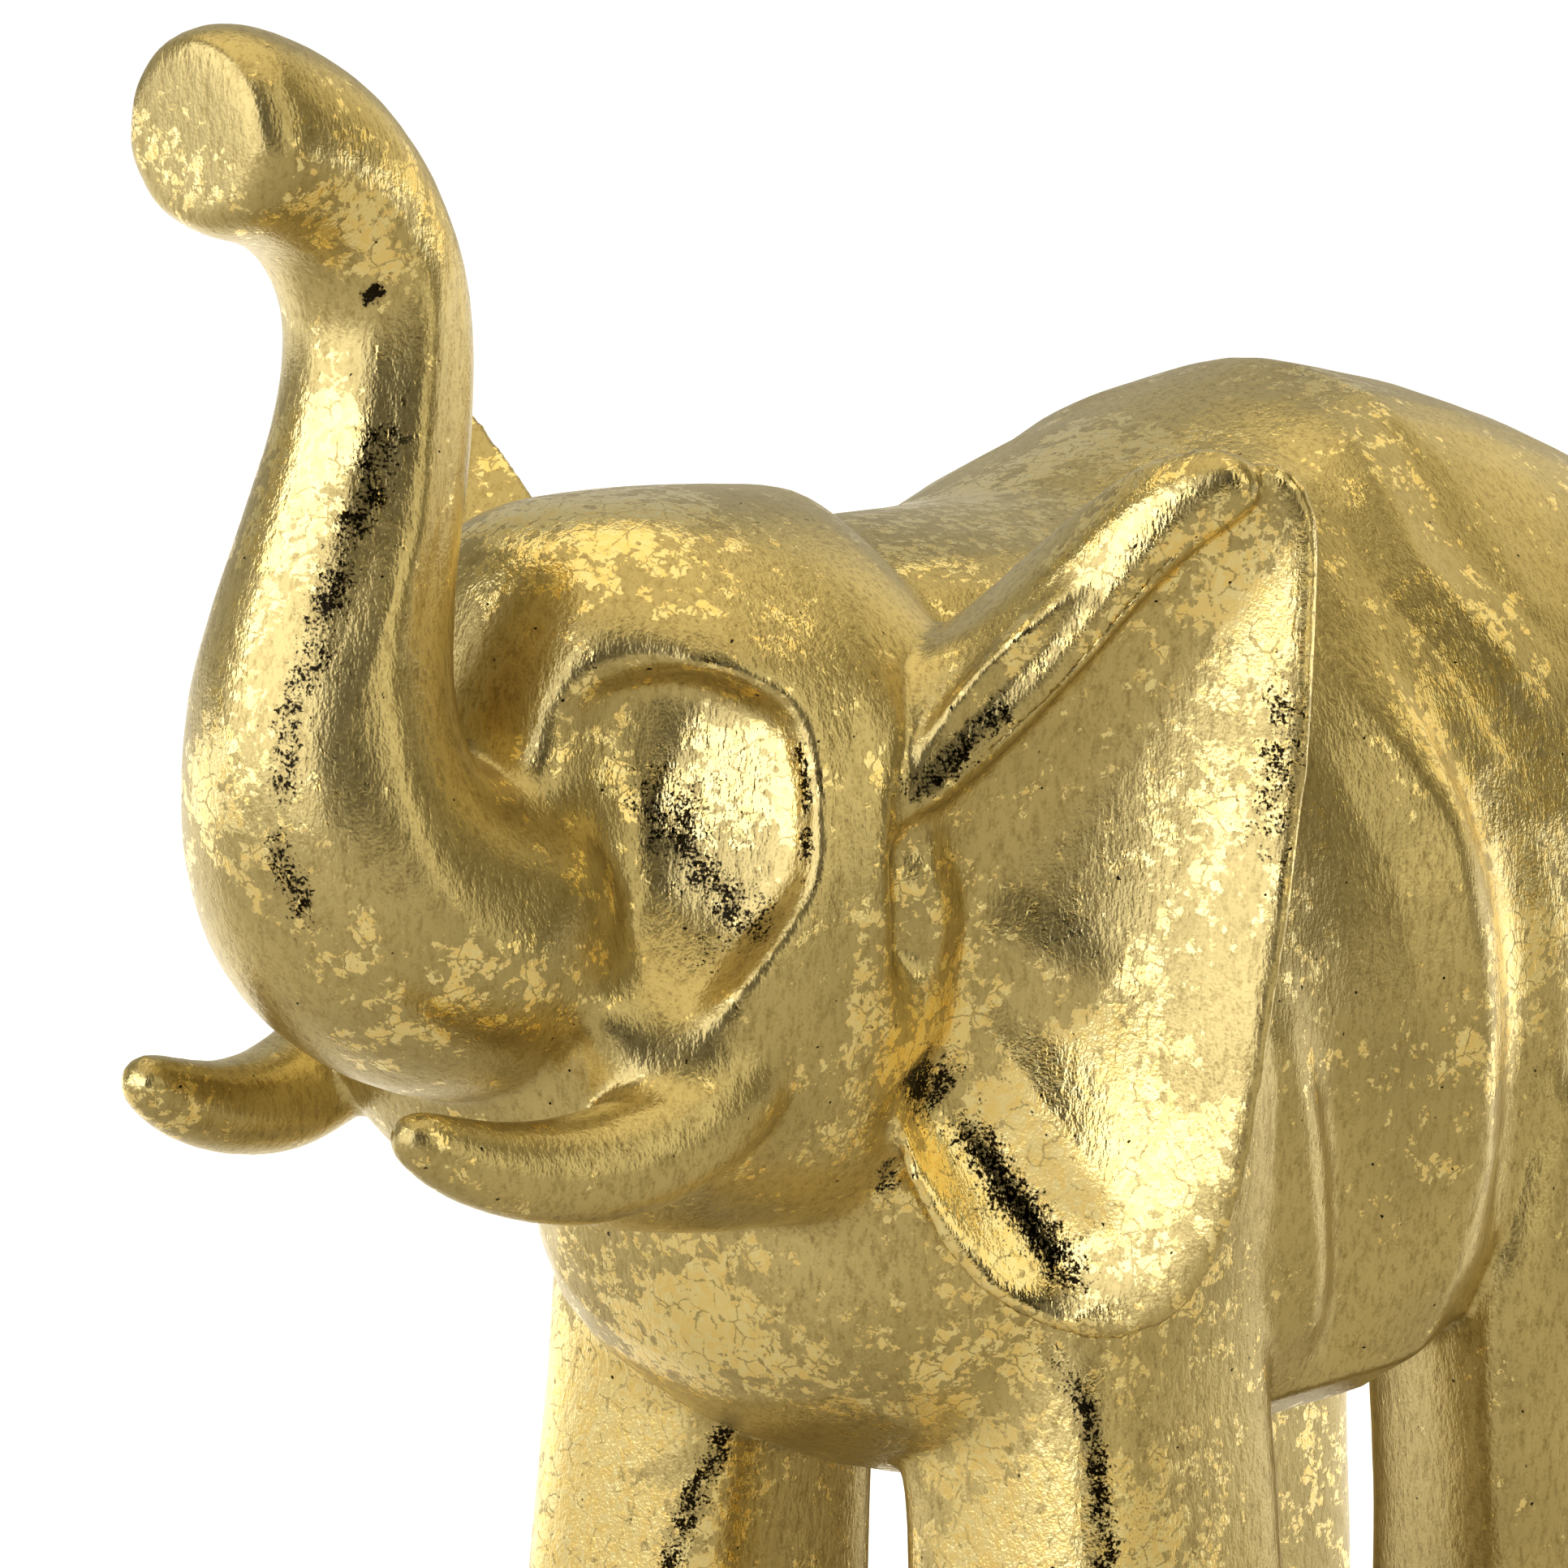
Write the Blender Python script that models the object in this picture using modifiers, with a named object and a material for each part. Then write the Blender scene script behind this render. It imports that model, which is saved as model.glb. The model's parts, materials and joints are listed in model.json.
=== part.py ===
"""Elephant figurine, cast in one piece in resin and leafed in gold.

It stands on four flat soles, faces -Y and raises its trunk. +X is its left side, +Z is up,
and the origin lies on the ground under the middle of its bounding box.
"""
import math

import bmesh
import bpy
import numpy as np
from mathutils import Vector

# Driving size, in metres: soles to the top of the raised trunk
HEIGHT = 0.227

# The figure's own measure. All proportions below are in 227ths of its height.
UNIT = HEIGHT / 227

# Where the figure's own origin, below the back of the head, lies along Y from the part's origin
SHIFT_Y = -40.4
# The legs are modelled longer by this much and cut off flat at the soles
SOLE_TRIM = 6.0

# Torso sections from chest to rump. Each row: place along Y, how far the section's upper
# half leans forward, height of the spine, half the section's outline as (half width, height)
# at back, flank, side and belly edge, height of the belly, and how sharp the section stands
# out as a ridge.
TORSO = (
    (-20, 0, 166, (11, 161), (21, 146), (23, 122), (16, 98), 92, 0.0),
    (-8, 0, 174, (16, 169), (29, 150), (33, 118), (27, 88), 79, 0.0),
    (8, 0, 177, (20, 171), (36, 152), (41, 118), (33, 81), 69, 0.0),
    (24, 0, 176.8, (22, 170), (38, 153), (43.5, 120), (38, 78), 68, 0.0),
    (40, 3, 177.6, (24, 170), (38, 154), (43.5, 126), (39, 78), 71, 0.4),
    (58, 9, 181, (25, 174), (40, 157), (48, 132), (44, 79), 73, 0.7),
    (72, 4, 186, (20, 181), (36, 162), (45, 134), (41, 82), 75, 0.2),
    (85, 6, 189, (19, 183), (37, 163), (46.5, 134), (42, 85), 77, 0.7),
    (104, 2, 185.5, (23, 177), (40, 158), (48, 129), (43, 86), 79, 0.2),
    (124, 0, 178, (23, 170), (39, 152), (46, 125), (39, 88), 82, 0.0),
    (141, 0, 167, (19, 161), (31, 146), (37, 123), (31, 96), 89, 0.0),
    (153, 0, 152, (11, 148), (19, 139), (22, 125), (17, 109), 103, 0.0),
)

# Head sections from the throat up. Each row: height, then (half width, Y) of the outline at
# the brow line, inner and outer edge of the eye hollow, cheek behind it, and nape.
HEAD = (
    (106, (0, -34), (9, -32), (15, -26), (19, -14), (20, 6)),
    (112, (0, -43), (12, -41), (20, -34), (26, -20), (26, 6)),
    (119, (0, -50), (17, -46), (25, -39), (31, -21), (29, 6)),
    (128, (0, -53), (20, -49), (28, -41), (34, -22), (31, 6)),
    (138, (0, -52), (21, -49.5), (30.5, -36), (34.5, -23), (32, 5)),
    (148, (0, -50), (20, -49), (31.5, -31), (34.5, -22), (32, 4)),
    (160, (0, -49), (17, -48), (29.5, -30), (32.5, -19), (31, 2)),
    (167, (0, -47), (14, -45), (24.5, -35), (29.5, -19), (28, -1)),
    (175, (0, -43), (10, -41), (17, -33), (20.5, -20), (18, -4)),
    (180.5, (0, -37), (5, -35), (9, -30), (9, -20), (6, -12)),
)

# Trunk sections from the face to the tip. Each row: Y and height of the centre, rise of the
# direction in degrees above level forward, half width, half depth.
TRUNK = (
    (-26, 140, 0, 13, 15),
    (-39, 138.5, 2, 16.5, 17.5),
    (-49, 139.5, 12, 21.8, 19),
    (-56.5, 142.5, 34, 20.6, 17.6),
    (-61.8, 148, 56, 17.8, 16),
    (-64.7, 156, 78, 15.4, 14.3),
    (-65, 166, 95, 13.2, 12.6),
    (-61.3, 177, 106, 11, 11.2),
    (-57.6, 188, 103, 9.8, 10),
    (-56.2, 198, 88, 9.5, 9.5),
    (-58.5, 206.5, 58, 9.8, 9.5),
    (-65, 213.8, 26, 10.6, 10),
    (-73, 216.8, 6, 11.2, 10.7),
    (-77.5, 217.2, -1, 11.2, 10.7),
    (-80, 217.2, -3, 9, 8.8),
)
# Corners of the trunk's section, in degrees from its middle in front
TRUNK_CORNERS = (0, 42, 76, 112, 146, 180)

# Legs from the sole up. Each row: height, inner and outer X, front and back Y at the outer
# side, and how far the front and the back draw in towards the inner side.
FORELEG = (
    (-SOLE_TRIM, 10.5, 46.5, -4.5, 38.5, 0, 3),
    (0, 10.5, 46.5, -4.5, 38.5, 0, 3),
    (12, 11, 46, -3.5, 37.5, 0, 3),
    (40, 12, 44.5, -2, 37, 0, 4),
    (70, 12, 42.5, 0.5, 37.5, 0, 4),
    (80, 9.5, 41.5, 0.8, 37.3, 0, 4),
    (88, 5, 41, 0.9, 37.1, 0, 3),
    (97, 4, 40.5, 1, 37, 0, 3),
    (118, 8, 45, 3, 33, 0, 0),
    (136, 10, 41, 7, 29, 0, 0),
    (152, 12, 33, 11, 26, 0, 0),
)
HINDLEG = (
    (-SOLE_TRIM, 11.5, 47, 77, 128, 5, 0),
    (0, 11.5, 47, 77, 128, 5, 0),
    (12, 12, 46.5, 76, 127, 6, 0),
    (40, 12.5, 46, 70, 126, 10, 0),
    (68, 14, 46, 65.5, 125, 13, 0),
    (90, 12, 47, 65, 136, 10, 0),
    (115, 10, 47.5, 72, 145, 0, 0),
    (137, 12, 43, 83, 138, 0, 0),
    (154, 14, 33, 95, 128, 0, 0),
)
# How square a leg's section is: 2 is an ellipse, more is squarer
LEG_SQUARENESS = 3.8
LEG_SIDES = 16

# Tusk from inside the cheek to the tip. Each row: X, Y, height, radius.
TUSK = (
    (22, -26, 134, 6.5),
    (24, -33, 127, 7.2),
    (24.3, -40, 122.6, 6.9),
    (23, -48, 120, 6.4),
    (21.3, -56, 120, 5.7),
    (20, -63, 121.6, 4.8),
    (18.8, -69.5, 124.4, 3.8),
    (18.1, -73.4, 127, 2.5),
)

# Ear. Its outline is seen square on: along the ear backward from its root, and height.
EAR_ROOT = (33.0, -22.0)
EAR_TURN = 47.0
EAR_OUTLINE = (
    (6, 163), (12, 169), (20, 175), (26, 180.5), (32, 184.5), (37, 186), (41, 184),
    (42.5, 179.5), (42.2, 172), (42, 160), (41, 148), (39, 136), (37, 122), (35, 110),
    (31, 101), (25, 96.5), (17, 97.5), (9, 102), (3, 111), (0, 124), (-1, 138), (0, 152),
)
EAR_THICKNESS = 4.2
EAR_RINGS = 5
# The dish of the ear: its centre along the ear and in height, its depth at the middle
EAR_DISH = (14.0, 139.0, 9.0)
# How far the lower end of the ear lies in towards the body, and how much its rear swings
# out there for each unit along
EAR_TUCK = 3.5
EAR_TWIST = 0.22
# Rolled upper rim of the ear from root to tip. Each row: the outline behind it, its ridge,
# the crease under it and its back, all as (X, Y, height).
RIM = (
    ((20, -1, 166), (27, -19.5, 164), (32.5, -24, 147), (22, -6, 148)),
    ((25, -1, 169), (32.5, -14, 166), (36, -19, 151), (30, -3, 153)),
    ((32.5, -0.5, 175.5), (39, -9, 171.5), (42.5, -11, 159), (38, -2, 163)),
    ((40.5, 0, 182), (46, -6, 178.5), (48.5, -6, 168), (45.5, 0.5, 172)),
    ((48, 1, 186.5), (52, -2, 184), (53.5, -1.5, 176.5), (52, 3.5, 178)),
    ((55.5, 5, 187), (58, 2.5, 185.5), (59, 3.5, 181), (57.5, 7.5, 181)),
)

# Eye hollow, cut into the side of the head inside an angular rim. The rim's corners are
# seen square on: along the face backward, and height. Then the compass turn of the face,
# how far out it stands at a height, how much less for each unit further up, the middle of
# the hollow and its rings as shares of the rim.
EYE_RIM = (
    (-41, 156), (-30, 166.5), (-19, 166), (-10.8, 161.5), (-10.5, 146), (-16.5, 138.5),
    (-28, 126), (-42, 143),
)
EYE_TURN = 60.0
EYE_STAND = (41.0, 149.0, 0.2)
EYE_MIDDLE = (-26.0, 147.0)
EYE_SHARES = (1.35, 1.0, 0.93, 0.8, 0.6, 0.4, 0.2)
# Planes of the hollow's floor: the step under its rear rim, then how much deeper each plane
# gets for each unit away from its edge: forward from the rear, back from behind the trunk,
# up from the foot and down from the brow
EYE_STEP = 1.2
EYE_REAR = (0.56, -10.5)
EYE_FORE = (0.62, -41.0)
EYE_FOOT = (0.55, 126.0)
EYE_BROW = (6.0, 167.5)

# Lines carved into the surface, both sides alike. Each row: how far the line stands out, or
# sinks if less than 0, its width, whether its crest is sharp, then points near the surface
# as (X, Y, height).
CARVING = (
    # rear edge of the shoulder, and the groove behind it
    (1.0, 4.5, True, (44, 28, 131), (42, 34.6, 107), (40.6, 37, 97), (39, 38, 86)),
    (-1.5, 5.0, False, (42, 37.7, 120), (42, 41.6, 108.6), (41, 43.3, 96), (38, 44.3, 85)),
    # ridge over the ribs, and the hollow behind it
    (1.7, 8.0, True, (37, 46.7, 156), (44, 54.6, 141), (46, 58.6, 121), (43.4, 60.7, 93)),
    (-1.3, 8.0, False, (36, 54, 160), (44, 67, 135), (44, 70, 119), (41, 71, 91)),
    # ridge from the hump down the loin, and the front edge of the thigh
    (1.4, 8.0, True, (12.5, 70, 183), (31, 66, 167), (40.6, 79, 149)),
    (1.2, 6.0, True, (39.8, 70, 83.5), (43, 74, 103), (44, 78, 114)),
    # groove between cheek and ear, and the edge of the cheek before it
    (-2.4, 4.2, False, (34.6, -19.5, 150), (34, -19.8, 144), (33.6, -18, 134)),
    (0.9, 4.5, True, (31, -18, 163), (33, -23, 152), (33.4, -23.6, 136)),
    # fold of the ear from its root to its lower tip, and the swell above it
    (-3.0, 9.0, False, (30, -15.6, 125.5), (33.6, -6.8, 114), (43.5, -2, 101)),
    (1.3, 7.0, False, (34.8, -17, 143), (38, -9, 137), (44, -3, 131)),
    # crease under the ear's rolled rim
    (-1.2, 3.2, False, (36, -17.5, 152.5), (43.5, -9.4, 161.4), (52.4, -2.1, 175), (56, 1, 180)),
    # edge along the trunk
    (0.8, 3.5, True, (9.2, -58, 206), (8.9, -59.6, 193), (10, -62, 181), (11, -70.7, 165)),
)
# Compass turn from which all carved lines are seen, and how their ends fade, as a share
CARVED_FROM = 55.0
CARVED_ENDS = 0.18

# Places where neighbouring forms run into each other without an edge: X, Y, height, reach.
# Both sides are alike.
MELTED = (
    (12, -48.5, 156, 10), (14, -47, 160.5, 10), (17.5, -43.5, 164.5, 8),
    (20.5, -48.5, 138, 8), (23, -44, 131, 7), (26, -35, 130, 7), (29, -26, 126, 8),
    (24, -12, 110, 9), (38, 6, 96, 8), (30, 0, 86, 8), (38, 62, 80, 7), (8, -30, 108, 9),
)
# How far melting spreads, as rounds of softening times the square of the skin's step
MELT_SPREAD = 70.0

# Tail from the rump down. Each row: Y, height, radius.
TAIL = (
    (147, 160, 5.0),
    (155, 151, 4.8),
    (158.5, 139, 4.6),
    (158.5, 124, 4.4),
    (155.5, 110, 4.4),
    (150, 98, 4.6),
    (143, 88, 4.8),
    (138, 79, 3.0),
)

# Fineness of the cast surface: the size of its steps, rounds of softening, and triangles
SKIN_VOXEL = 1.3 * UNIT
SKIN_SMOOTHING = 5
SKIN_TRIANGLES = 9600

GOLD = (0.60, 0.46, 0.20, 1.0)


def clear_objects():
    for old in list(bpy.data.objects):
        bpy.data.objects.remove(old, do_unlink=True)


def new_collection(name):
    collection = bpy.data.collections.new(name)
    bpy.context.scene.collection.children.link(collection)
    return collection


def gold_material():
    material = bpy.data.materials.new("gold_leaf")
    material.use_nodes = True
    shader = material.node_tree.nodes["Principled BSDF"]
    shader.inputs["Base Color"].default_value = GOLD
    shader.inputs["Metallic"].default_value = 0.9
    shader.inputs["Roughness"].default_value = 0.38
    return material


def place(x, y, z):
    """A point of the figure's own measure, in metres in the part's frame."""
    return Vector((x, y + SHIFT_Y, z)) * UNIT


def loft(name, rings, collection, ring_creases=None, side_creases=None, levels=2):
    """A closed tube through rings of points, smoothed by subdivision, with ridges where
    a whole ring or a lengthwise row of edges is given a crease."""
    mesh = bpy.data.meshes.new(name)
    form = bmesh.new()
    crease = form.edges.layers.float.new("crease_edge")
    rows = [[form.verts.new(place(*point)) for point in ring] for ring in rings]
    count = len(rows[0])
    for lower, upper in zip(rows, rows[1:]):
        for k in range(count):
            after = (k + 1) % count
            form.faces.new((lower[k], lower[after], upper[after], upper[k]))
    form.faces.new(list(reversed(rows[0])))
    form.faces.new(rows[-1])
    for index, row in enumerate(rows):
        if ring_creases and ring_creases[index]:
            for k in range(count):
                form.edges.get((row[k], row[(k + 1) % count]))[crease] = ring_creases[index]
    if side_creases:
        for lower, upper in zip(rows, rows[1:]):
            for k in range(count):
                form.edges.get((lower[k], upper[k]))[crease] = side_creases[k]
    bmesh.ops.recalc_face_normals(form, faces=form.faces)
    form.to_mesh(mesh)
    form.free()
    body = bpy.data.objects.new(name, mesh)
    collection.objects.link(body)
    smooth = body.modifiers.new("soft form", "SUBSURF")
    smooth.levels = levels
    smooth.render_levels = levels
    return body


def mirrored_row(half):
    """A full ring from a half given from one middle point to the other."""
    inner = [(-x, y, z) for x, y, z in half if x > 1e-6]
    return list(half) + list(reversed(inner))


def torso(collection):
    rings = []
    for y, lean, spine, back, flank, side, edge, belly, _ in TORSO:
        half = []
        for x, z in ((0, spine), back, flank, side, edge, (0, belly)):
            rise = max(0.0, (z - side[1]) / (spine - side[1]))
            half.append((x, y - lean * rise, z))
        rings.append(mirrored_row(half))
    ring_creases = [row[-1] for row in TORSO]
    side_creases = [0.0, 0.3, 0.2, 0.2, 0.3, 0.0, 0.3, 0.2, 0.2, 0.3]
    return loft("torso", rings, collection, ring_creases, side_creases)


def head(collection, cutters):
    rings = []
    for z, *half in HEAD:
        rings.append(mirrored_row([(x, y, z) for x, y in half] + [(0, 8, z)]))
    side_creases = [0.0, 0.3, 0.5, 0.3, 0.0, 0.0, 0.0, 0.3, 0.5, 0.3]
    skull = loft("head", rings, collection, None, side_creases)
    for side in (1, -1):
        scoop(skull, eye_hollow(side, cutters))
    return skull


def trunk_ring(y, z, rise, half_width, half_depth):
    """The section's middle in front is on the trunk's outer, lower side."""
    angle = math.radians(rise)
    down = Vector((0, -math.sin(angle), -math.cos(angle)))
    centre = Vector((0, y, z))
    half = []
    for corner in TRUNK_CORNERS:
        turn = math.radians(corner)
        point = centre + down * half_depth * math.cos(turn)
        half.append((half_width * math.sin(turn), point.y, point.z))
    return mirrored_row(half)


def trunk(collection):
    rings = [trunk_ring(*row) for row in TRUNK]
    side_creases = [0.0, 0.25, 0.4, 0.1, 0.0, 0.0, 0.0, 0.1, 0.4, 0.25]
    ring_creases = [0.0] * (len(TRUNK) - 1) + [0.7]
    return loft("trunk", rings, collection, ring_creases, side_creases)


def leg_ring(z, inner, outer, front, back, front_draw, back_draw, side):
    ring = []
    for k in range(LEG_SIDES):
        turn = 2 * math.pi * (k + 0.5) / LEG_SIDES
        wave = [math.cos(turn), math.sin(turn)]
        spread = [math.copysign(abs(w) ** (2 / LEG_SQUARENESS), w) for w in wave]
        x = (inner + outer) / 2 + spread[0] * (outer - inner) / 2
        inward = (outer - x) / (outer - inner)
        fore = front + front_draw * inward
        aft = back - back_draw * inward
        y = (fore + aft) / 2 + spread[1] * (aft - fore) / 2
        ring.append((side * x, y, z))
    return ring


def leg(name, rows, side, collection):
    return loft(name, [leg_ring(*row, side) for row in rows], collection)


def tube_rings(path, sides=8):
    """Round sections square to a path given as (x, y, z, radius)."""
    points = [Vector(row[:3]) for row in path]
    rings = []
    for k, row in enumerate(path):
        ahead = (points[min(k + 1, len(points) - 1)] - points[max(k - 1, 0)]).normalized()
        across = ahead.cross(Vector((0, 0, 1))).normalized()
        over = across.cross(ahead)
        ring = []
        for side in range(sides):
            turn = 2 * math.pi * side / sides
            out = across * math.cos(turn) + over * math.sin(turn)
            ring.append(tuple(points[k] + out * row[3]))
        rings.append(ring)
    return rings


def tusk(side, collection):
    path = [(side * x, y, z, radius) for x, y, z, radius in TUSK]
    return loft("tusk", tube_rings(path), collection)


def tail(collection):
    path = [(0.0, y, z, radius) for y, z, radius in TAIL]
    return loft("tail", tube_rings(path), collection)


def ear_point(along, height, out, side):
    """A point on the ear: how far along from the root, its height, and how far it stands
    out of the ear's plane towards the front."""
    turn = math.radians(EAR_TURN)
    out -= EAR_TUCK * max(0.0, (140 - height) / 42) ** 1.3
    out += EAR_TWIST * (along - EAR_DISH[0]) * min(1.0, max(0.0, (150 - height) / 40))
    x = EAR_ROOT[0] + along * math.cos(turn) + out * math.sin(turn)
    y = EAR_ROOT[1] + along * math.sin(turn) - out * math.cos(turn)
    return (side * x, y, height)


def ear_plate(side, collection):
    """The dished plate of the ear: rings of its outline drawn in towards the dish's centre,
    over the back and the front."""
    centre_along, centre_height, depth = EAR_DISH
    rings = []
    shares = [k / EAR_RINGS for k in range(1, EAR_RINGS + 1)]
    for face in ("back", "front"):
        order = shares if face == "back" else list(reversed(shares))
        for share in order:
            ring = []
            for along, height in EAR_OUTLINE:
                a = centre_along + (along - centre_along) * share
                h = centre_height + (height - centre_height) * share
                out = -depth * (1 - share ** 2)
                if face == "back":
                    out -= EAR_THICKNESS
                ring.append(ear_point(a, h, out, side))
            rings.append(ring)
    return loft("ear", rings, collection, levels=1)


def with_midpoints(ring):
    """The ring with a point added in the middle of each side."""
    full = []
    for here, after in zip(ring, ring[1:] + ring[:1]):
        full.append(here)
        full.append(tuple((a + b) / 2 for a, b in zip(here, after)))
    return full


def ear_rim(side, collection):
    rings = [with_midpoints([(side * x, y, z) for x, y, z in row]) for row in RIM]
    side_creases = [0.2, 0.0, 0.1, 0.0, 0.4, 0.0, 0.2, 0.0]
    return loft("rim", rings, collection, None, side_creases)


def hollow_depth(along, height):
    """How deep the eye hollow's floor lies: the shallowest of its planes."""
    rear = EYE_STEP + EYE_REAR[0] * (EYE_REAR[1] - along)
    fore = EYE_FORE[0] * (along - EYE_FORE[1])
    foot = EYE_FOOT[0] * (height - EYE_FOOT[1])
    brow = EYE_BROW[0] * (EYE_BROW[1] - height)
    return max(0.0, min(rear, fore, foot, brow))


def eye_hollow(side, cutters):
    """The cutter that scoops out the hollow: rings of its rim, from outside the face in."""
    turn = math.radians(EYE_TURN)
    middle_along, middle_height = EYE_MIDDLE
    stand, stand_height, lean = EYE_STAND
    rings = []
    for share in EYE_SHARES:
        ring = []
        for along, height in EYE_RIM:
            a = middle_along + (along - middle_along) * share
            h = middle_height + (height - middle_height) * share
            depth = -hollow_depth(a, h) if share < 1 else 25 * (share - 1)
            out = stand - lean * (h - stand_height) + 0.3 + depth
            x = a * math.cos(turn) + out * math.sin(turn)
            y = a * math.sin(turn) - out * math.cos(turn)
            ring.append((side * x, y, h))
        rings.append(with_midpoints(ring))
    cutter = loft("eye hollow", rings, cutters, [0, 0.5, 0, 0, 0, 0, 0])
    cutter.hide_render = True
    cutter.display_type = "WIRE"
    return cutter


def evaluated_mesh(body):
    graph = bpy.context.evaluated_depsgraph_get()
    mesh = bpy.data.meshes.new_from_object(body.evaluated_get(graph))
    mesh.transform(body.matrix_world)
    return mesh


def fuse(bodies, name, collection):
    """One mesh holding all the bodies, which the skin then melts together."""
    form = bmesh.new()
    for body in bodies:
        form.from_mesh(evaluated_mesh(body))
    for body in bodies:
        bpy.data.objects.remove(body, do_unlink=True)
    mesh = bpy.data.meshes.new(name)
    form.to_mesh(mesh)
    form.free()
    whole = bpy.data.objects.new(name, mesh)
    collection.objects.link(whole)
    return whole


def skin(body, voxel):
    cover = body.modifiers.new("one skin", "REMESH")
    cover.mode = "VOXEL"
    cover.voxel_size = voxel
    cover.adaptivity = 0.0
    return cover


def scoop(body, lens):
    cut = body.modifiers.new("hollow", "BOOLEAN")
    cut.operation = "DIFFERENCE"
    cut.object = lens
    cut.solver = "EXACT"


def settle(body):
    """Bakes the modifiers into the mesh."""
    mesh = evaluated_mesh(body)
    body.modifiers.clear()
    body.data = mesh
    return body


def melt(body, voxel):
    """Softens the skin round each melted place, most in its middle."""
    mesh = body.data
    count = len(mesh.vertices)
    places = np.empty(count * 3, np.float32)
    mesh.vertices.foreach_get("co", places)
    figure = places.reshape(count, 3) / UNIT - np.array([0.0, SHIFT_Y, 0.0])
    figure[:, 0] = np.abs(figure[:, 0])
    share = np.zeros(count)
    for x, y, z, reach in MELTED:
        away = np.linalg.norm(figure - np.array([x, y, z]), axis=1)
        share = np.maximum(share, np.clip(1.6 * (1 - away / reach), 0, 1))
    group = body.vertex_groups.new(name="melted")
    for level in range(1, 11):
        near = np.flatnonzero(np.round(share * 10) == level)
        group.add(near.tolist(), level / 10, "REPLACE")
    soften = body.modifiers.new("melt", "SMOOTH")
    soften.factor = 0.5
    soften.iterations = round(MELT_SPREAD * (UNIT / voxel) ** 2)
    soften.vertex_group = group.name
    settle(body)
    body.vertex_groups.clear()


def distance_along(places, line):
    """Each place's distance to a bent line, and how far along the line that is, 0 to 1."""
    line = np.array(line, float)
    lengths = np.linalg.norm(np.diff(line, axis=0), axis=1)
    passed = np.concatenate([[0.0], np.cumsum(lengths)])
    nearest = np.full(len(places), 1e9)
    along = np.zeros(len(places))
    for k, length in enumerate(lengths):
        step = (line[k + 1] - line[k]) / length
        share = np.clip((places - line[k]) @ step, 0, length)
        away = np.linalg.norm(places - line[k] - share[:, None] * step, axis=1)
        closer = away < nearest
        nearest[closer] = away[closer]
        along[closer] = (passed[k] + share[closer]) / passed[-1]
    return nearest, along


def carve(body):
    """Raises the ridges and sinks the grooves of the carved lines."""
    mesh = body.data
    count = len(mesh.vertices)
    places = np.empty(count * 3, np.float32)
    outward = np.empty(count * 3, np.float32)
    mesh.vertices.foreach_get("co", places)
    mesh.vertex_normals.foreach_get("vector", outward)
    places = places.reshape(count, 3)
    outward = outward.reshape(count, 3)
    side = np.where(places[:, 0] < 0, -1.0, 1.0)
    figure = places / UNIT - np.array([0.0, SHIFT_Y, 0.0])
    figure[:, 0] *= side
    turn = math.radians(CARVED_FROM)
    faces_us = outward[:, 0] * side * math.sin(turn) - outward[:, 1] * math.cos(turn)
    rise = np.zeros(count)
    for height, width, sharp, *line in CARVING:
        away, along = distance_along(figure, line)
        share = np.clip(1 - away / width, 0, 1)
        if not sharp:
            share = share * share * (3 - 2 * share)
        ends = np.clip(np.minimum(along, 1 - along) / CARVED_ENDS, 0, 1)
        rise += height * share * (0.25 + 0.75 * ends)
    rise *= np.clip(faces_us * 2 + 0.2, 0, 1) * UNIT
    places += outward * rise[:, None].astype(np.float32)
    mesh.vertices.foreach_set("co", places.ravel())
    mesh.update()


def flat_soles(body):
    """Cuts the legs off level at the ground and closes each with one flat face."""
    form = bmesh.new()
    form.from_mesh(body.data)
    bmesh.ops.bisect_plane(
        form, geom=form.verts[:] + form.edges[:] + form.faces[:], dist=1e-6,
        plane_co=(0, 0, 0), plane_no=(0, 0, -1), clear_outer=True)
    level = [face for face in form.faces if all(abs(v.co.z) < 1e-5 for v in face.verts)]
    bmesh.ops.delete(form, geom=level, context="FACES_ONLY")
    rim = [edge for edge in form.edges if edge.is_boundary]
    bmesh.ops.contextual_create(form, geom=rim)
    bmesh.ops.triangulate(form, faces=form.faces[:])
    form.to_mesh(body.data)
    form.free()


def figure_bodies(collection, cutters):
    bodies = [torso(collection), head(collection, cutters), trunk(collection), tail(collection)]
    for side in (1, -1):
        bodies.append(leg("foreleg", FORELEG, side, collection))
        bodies.append(leg("hindleg", HINDLEG, side, collection))
        bodies.append(tusk(side, collection))
        bodies.append(ear_plate(side, collection))
        bodies.append(ear_rim(side, collection))
    return bodies


def elephant(collection, cutters):
    body = fuse(figure_bodies(collection, cutters), "elephant", collection)
    skin(body, SKIN_VOXEL)
    soften = body.modifiers.new("soft edges", "SMOOTH")
    soften.factor = 0.5
    soften.iterations = SKIN_SMOOTHING
    settle(body)
    melt(body, SKIN_VOXEL)
    carve(body)
    reduce = body.modifiers.new("facets", "DECIMATE")
    reduce.ratio = SKIN_TRIANGLES / (2 * len(body.data.polygons))
    settle(body)
    flat_soles(body)
    return body


def main():
    clear_objects()
    parts = new_collection("resin elephant figurine")
    cutters = new_collection("cutters")
    body = elephant(parts, cutters)
    body.data.materials.append(gold_material())
    body.data.shade_smooth()
    return body


main()
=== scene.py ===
"""Looks of the gold-leafed resin elephant figurine.

The figure is melted together from the same forms as its solid, with a finer skin, and is
covered with torn gold leaf over a satin ground. It stands on a plain pale floor under
studio softboxes.
"""
import json
import math

import bmesh
import bpy
import numpy as np
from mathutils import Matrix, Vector, noise

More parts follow.
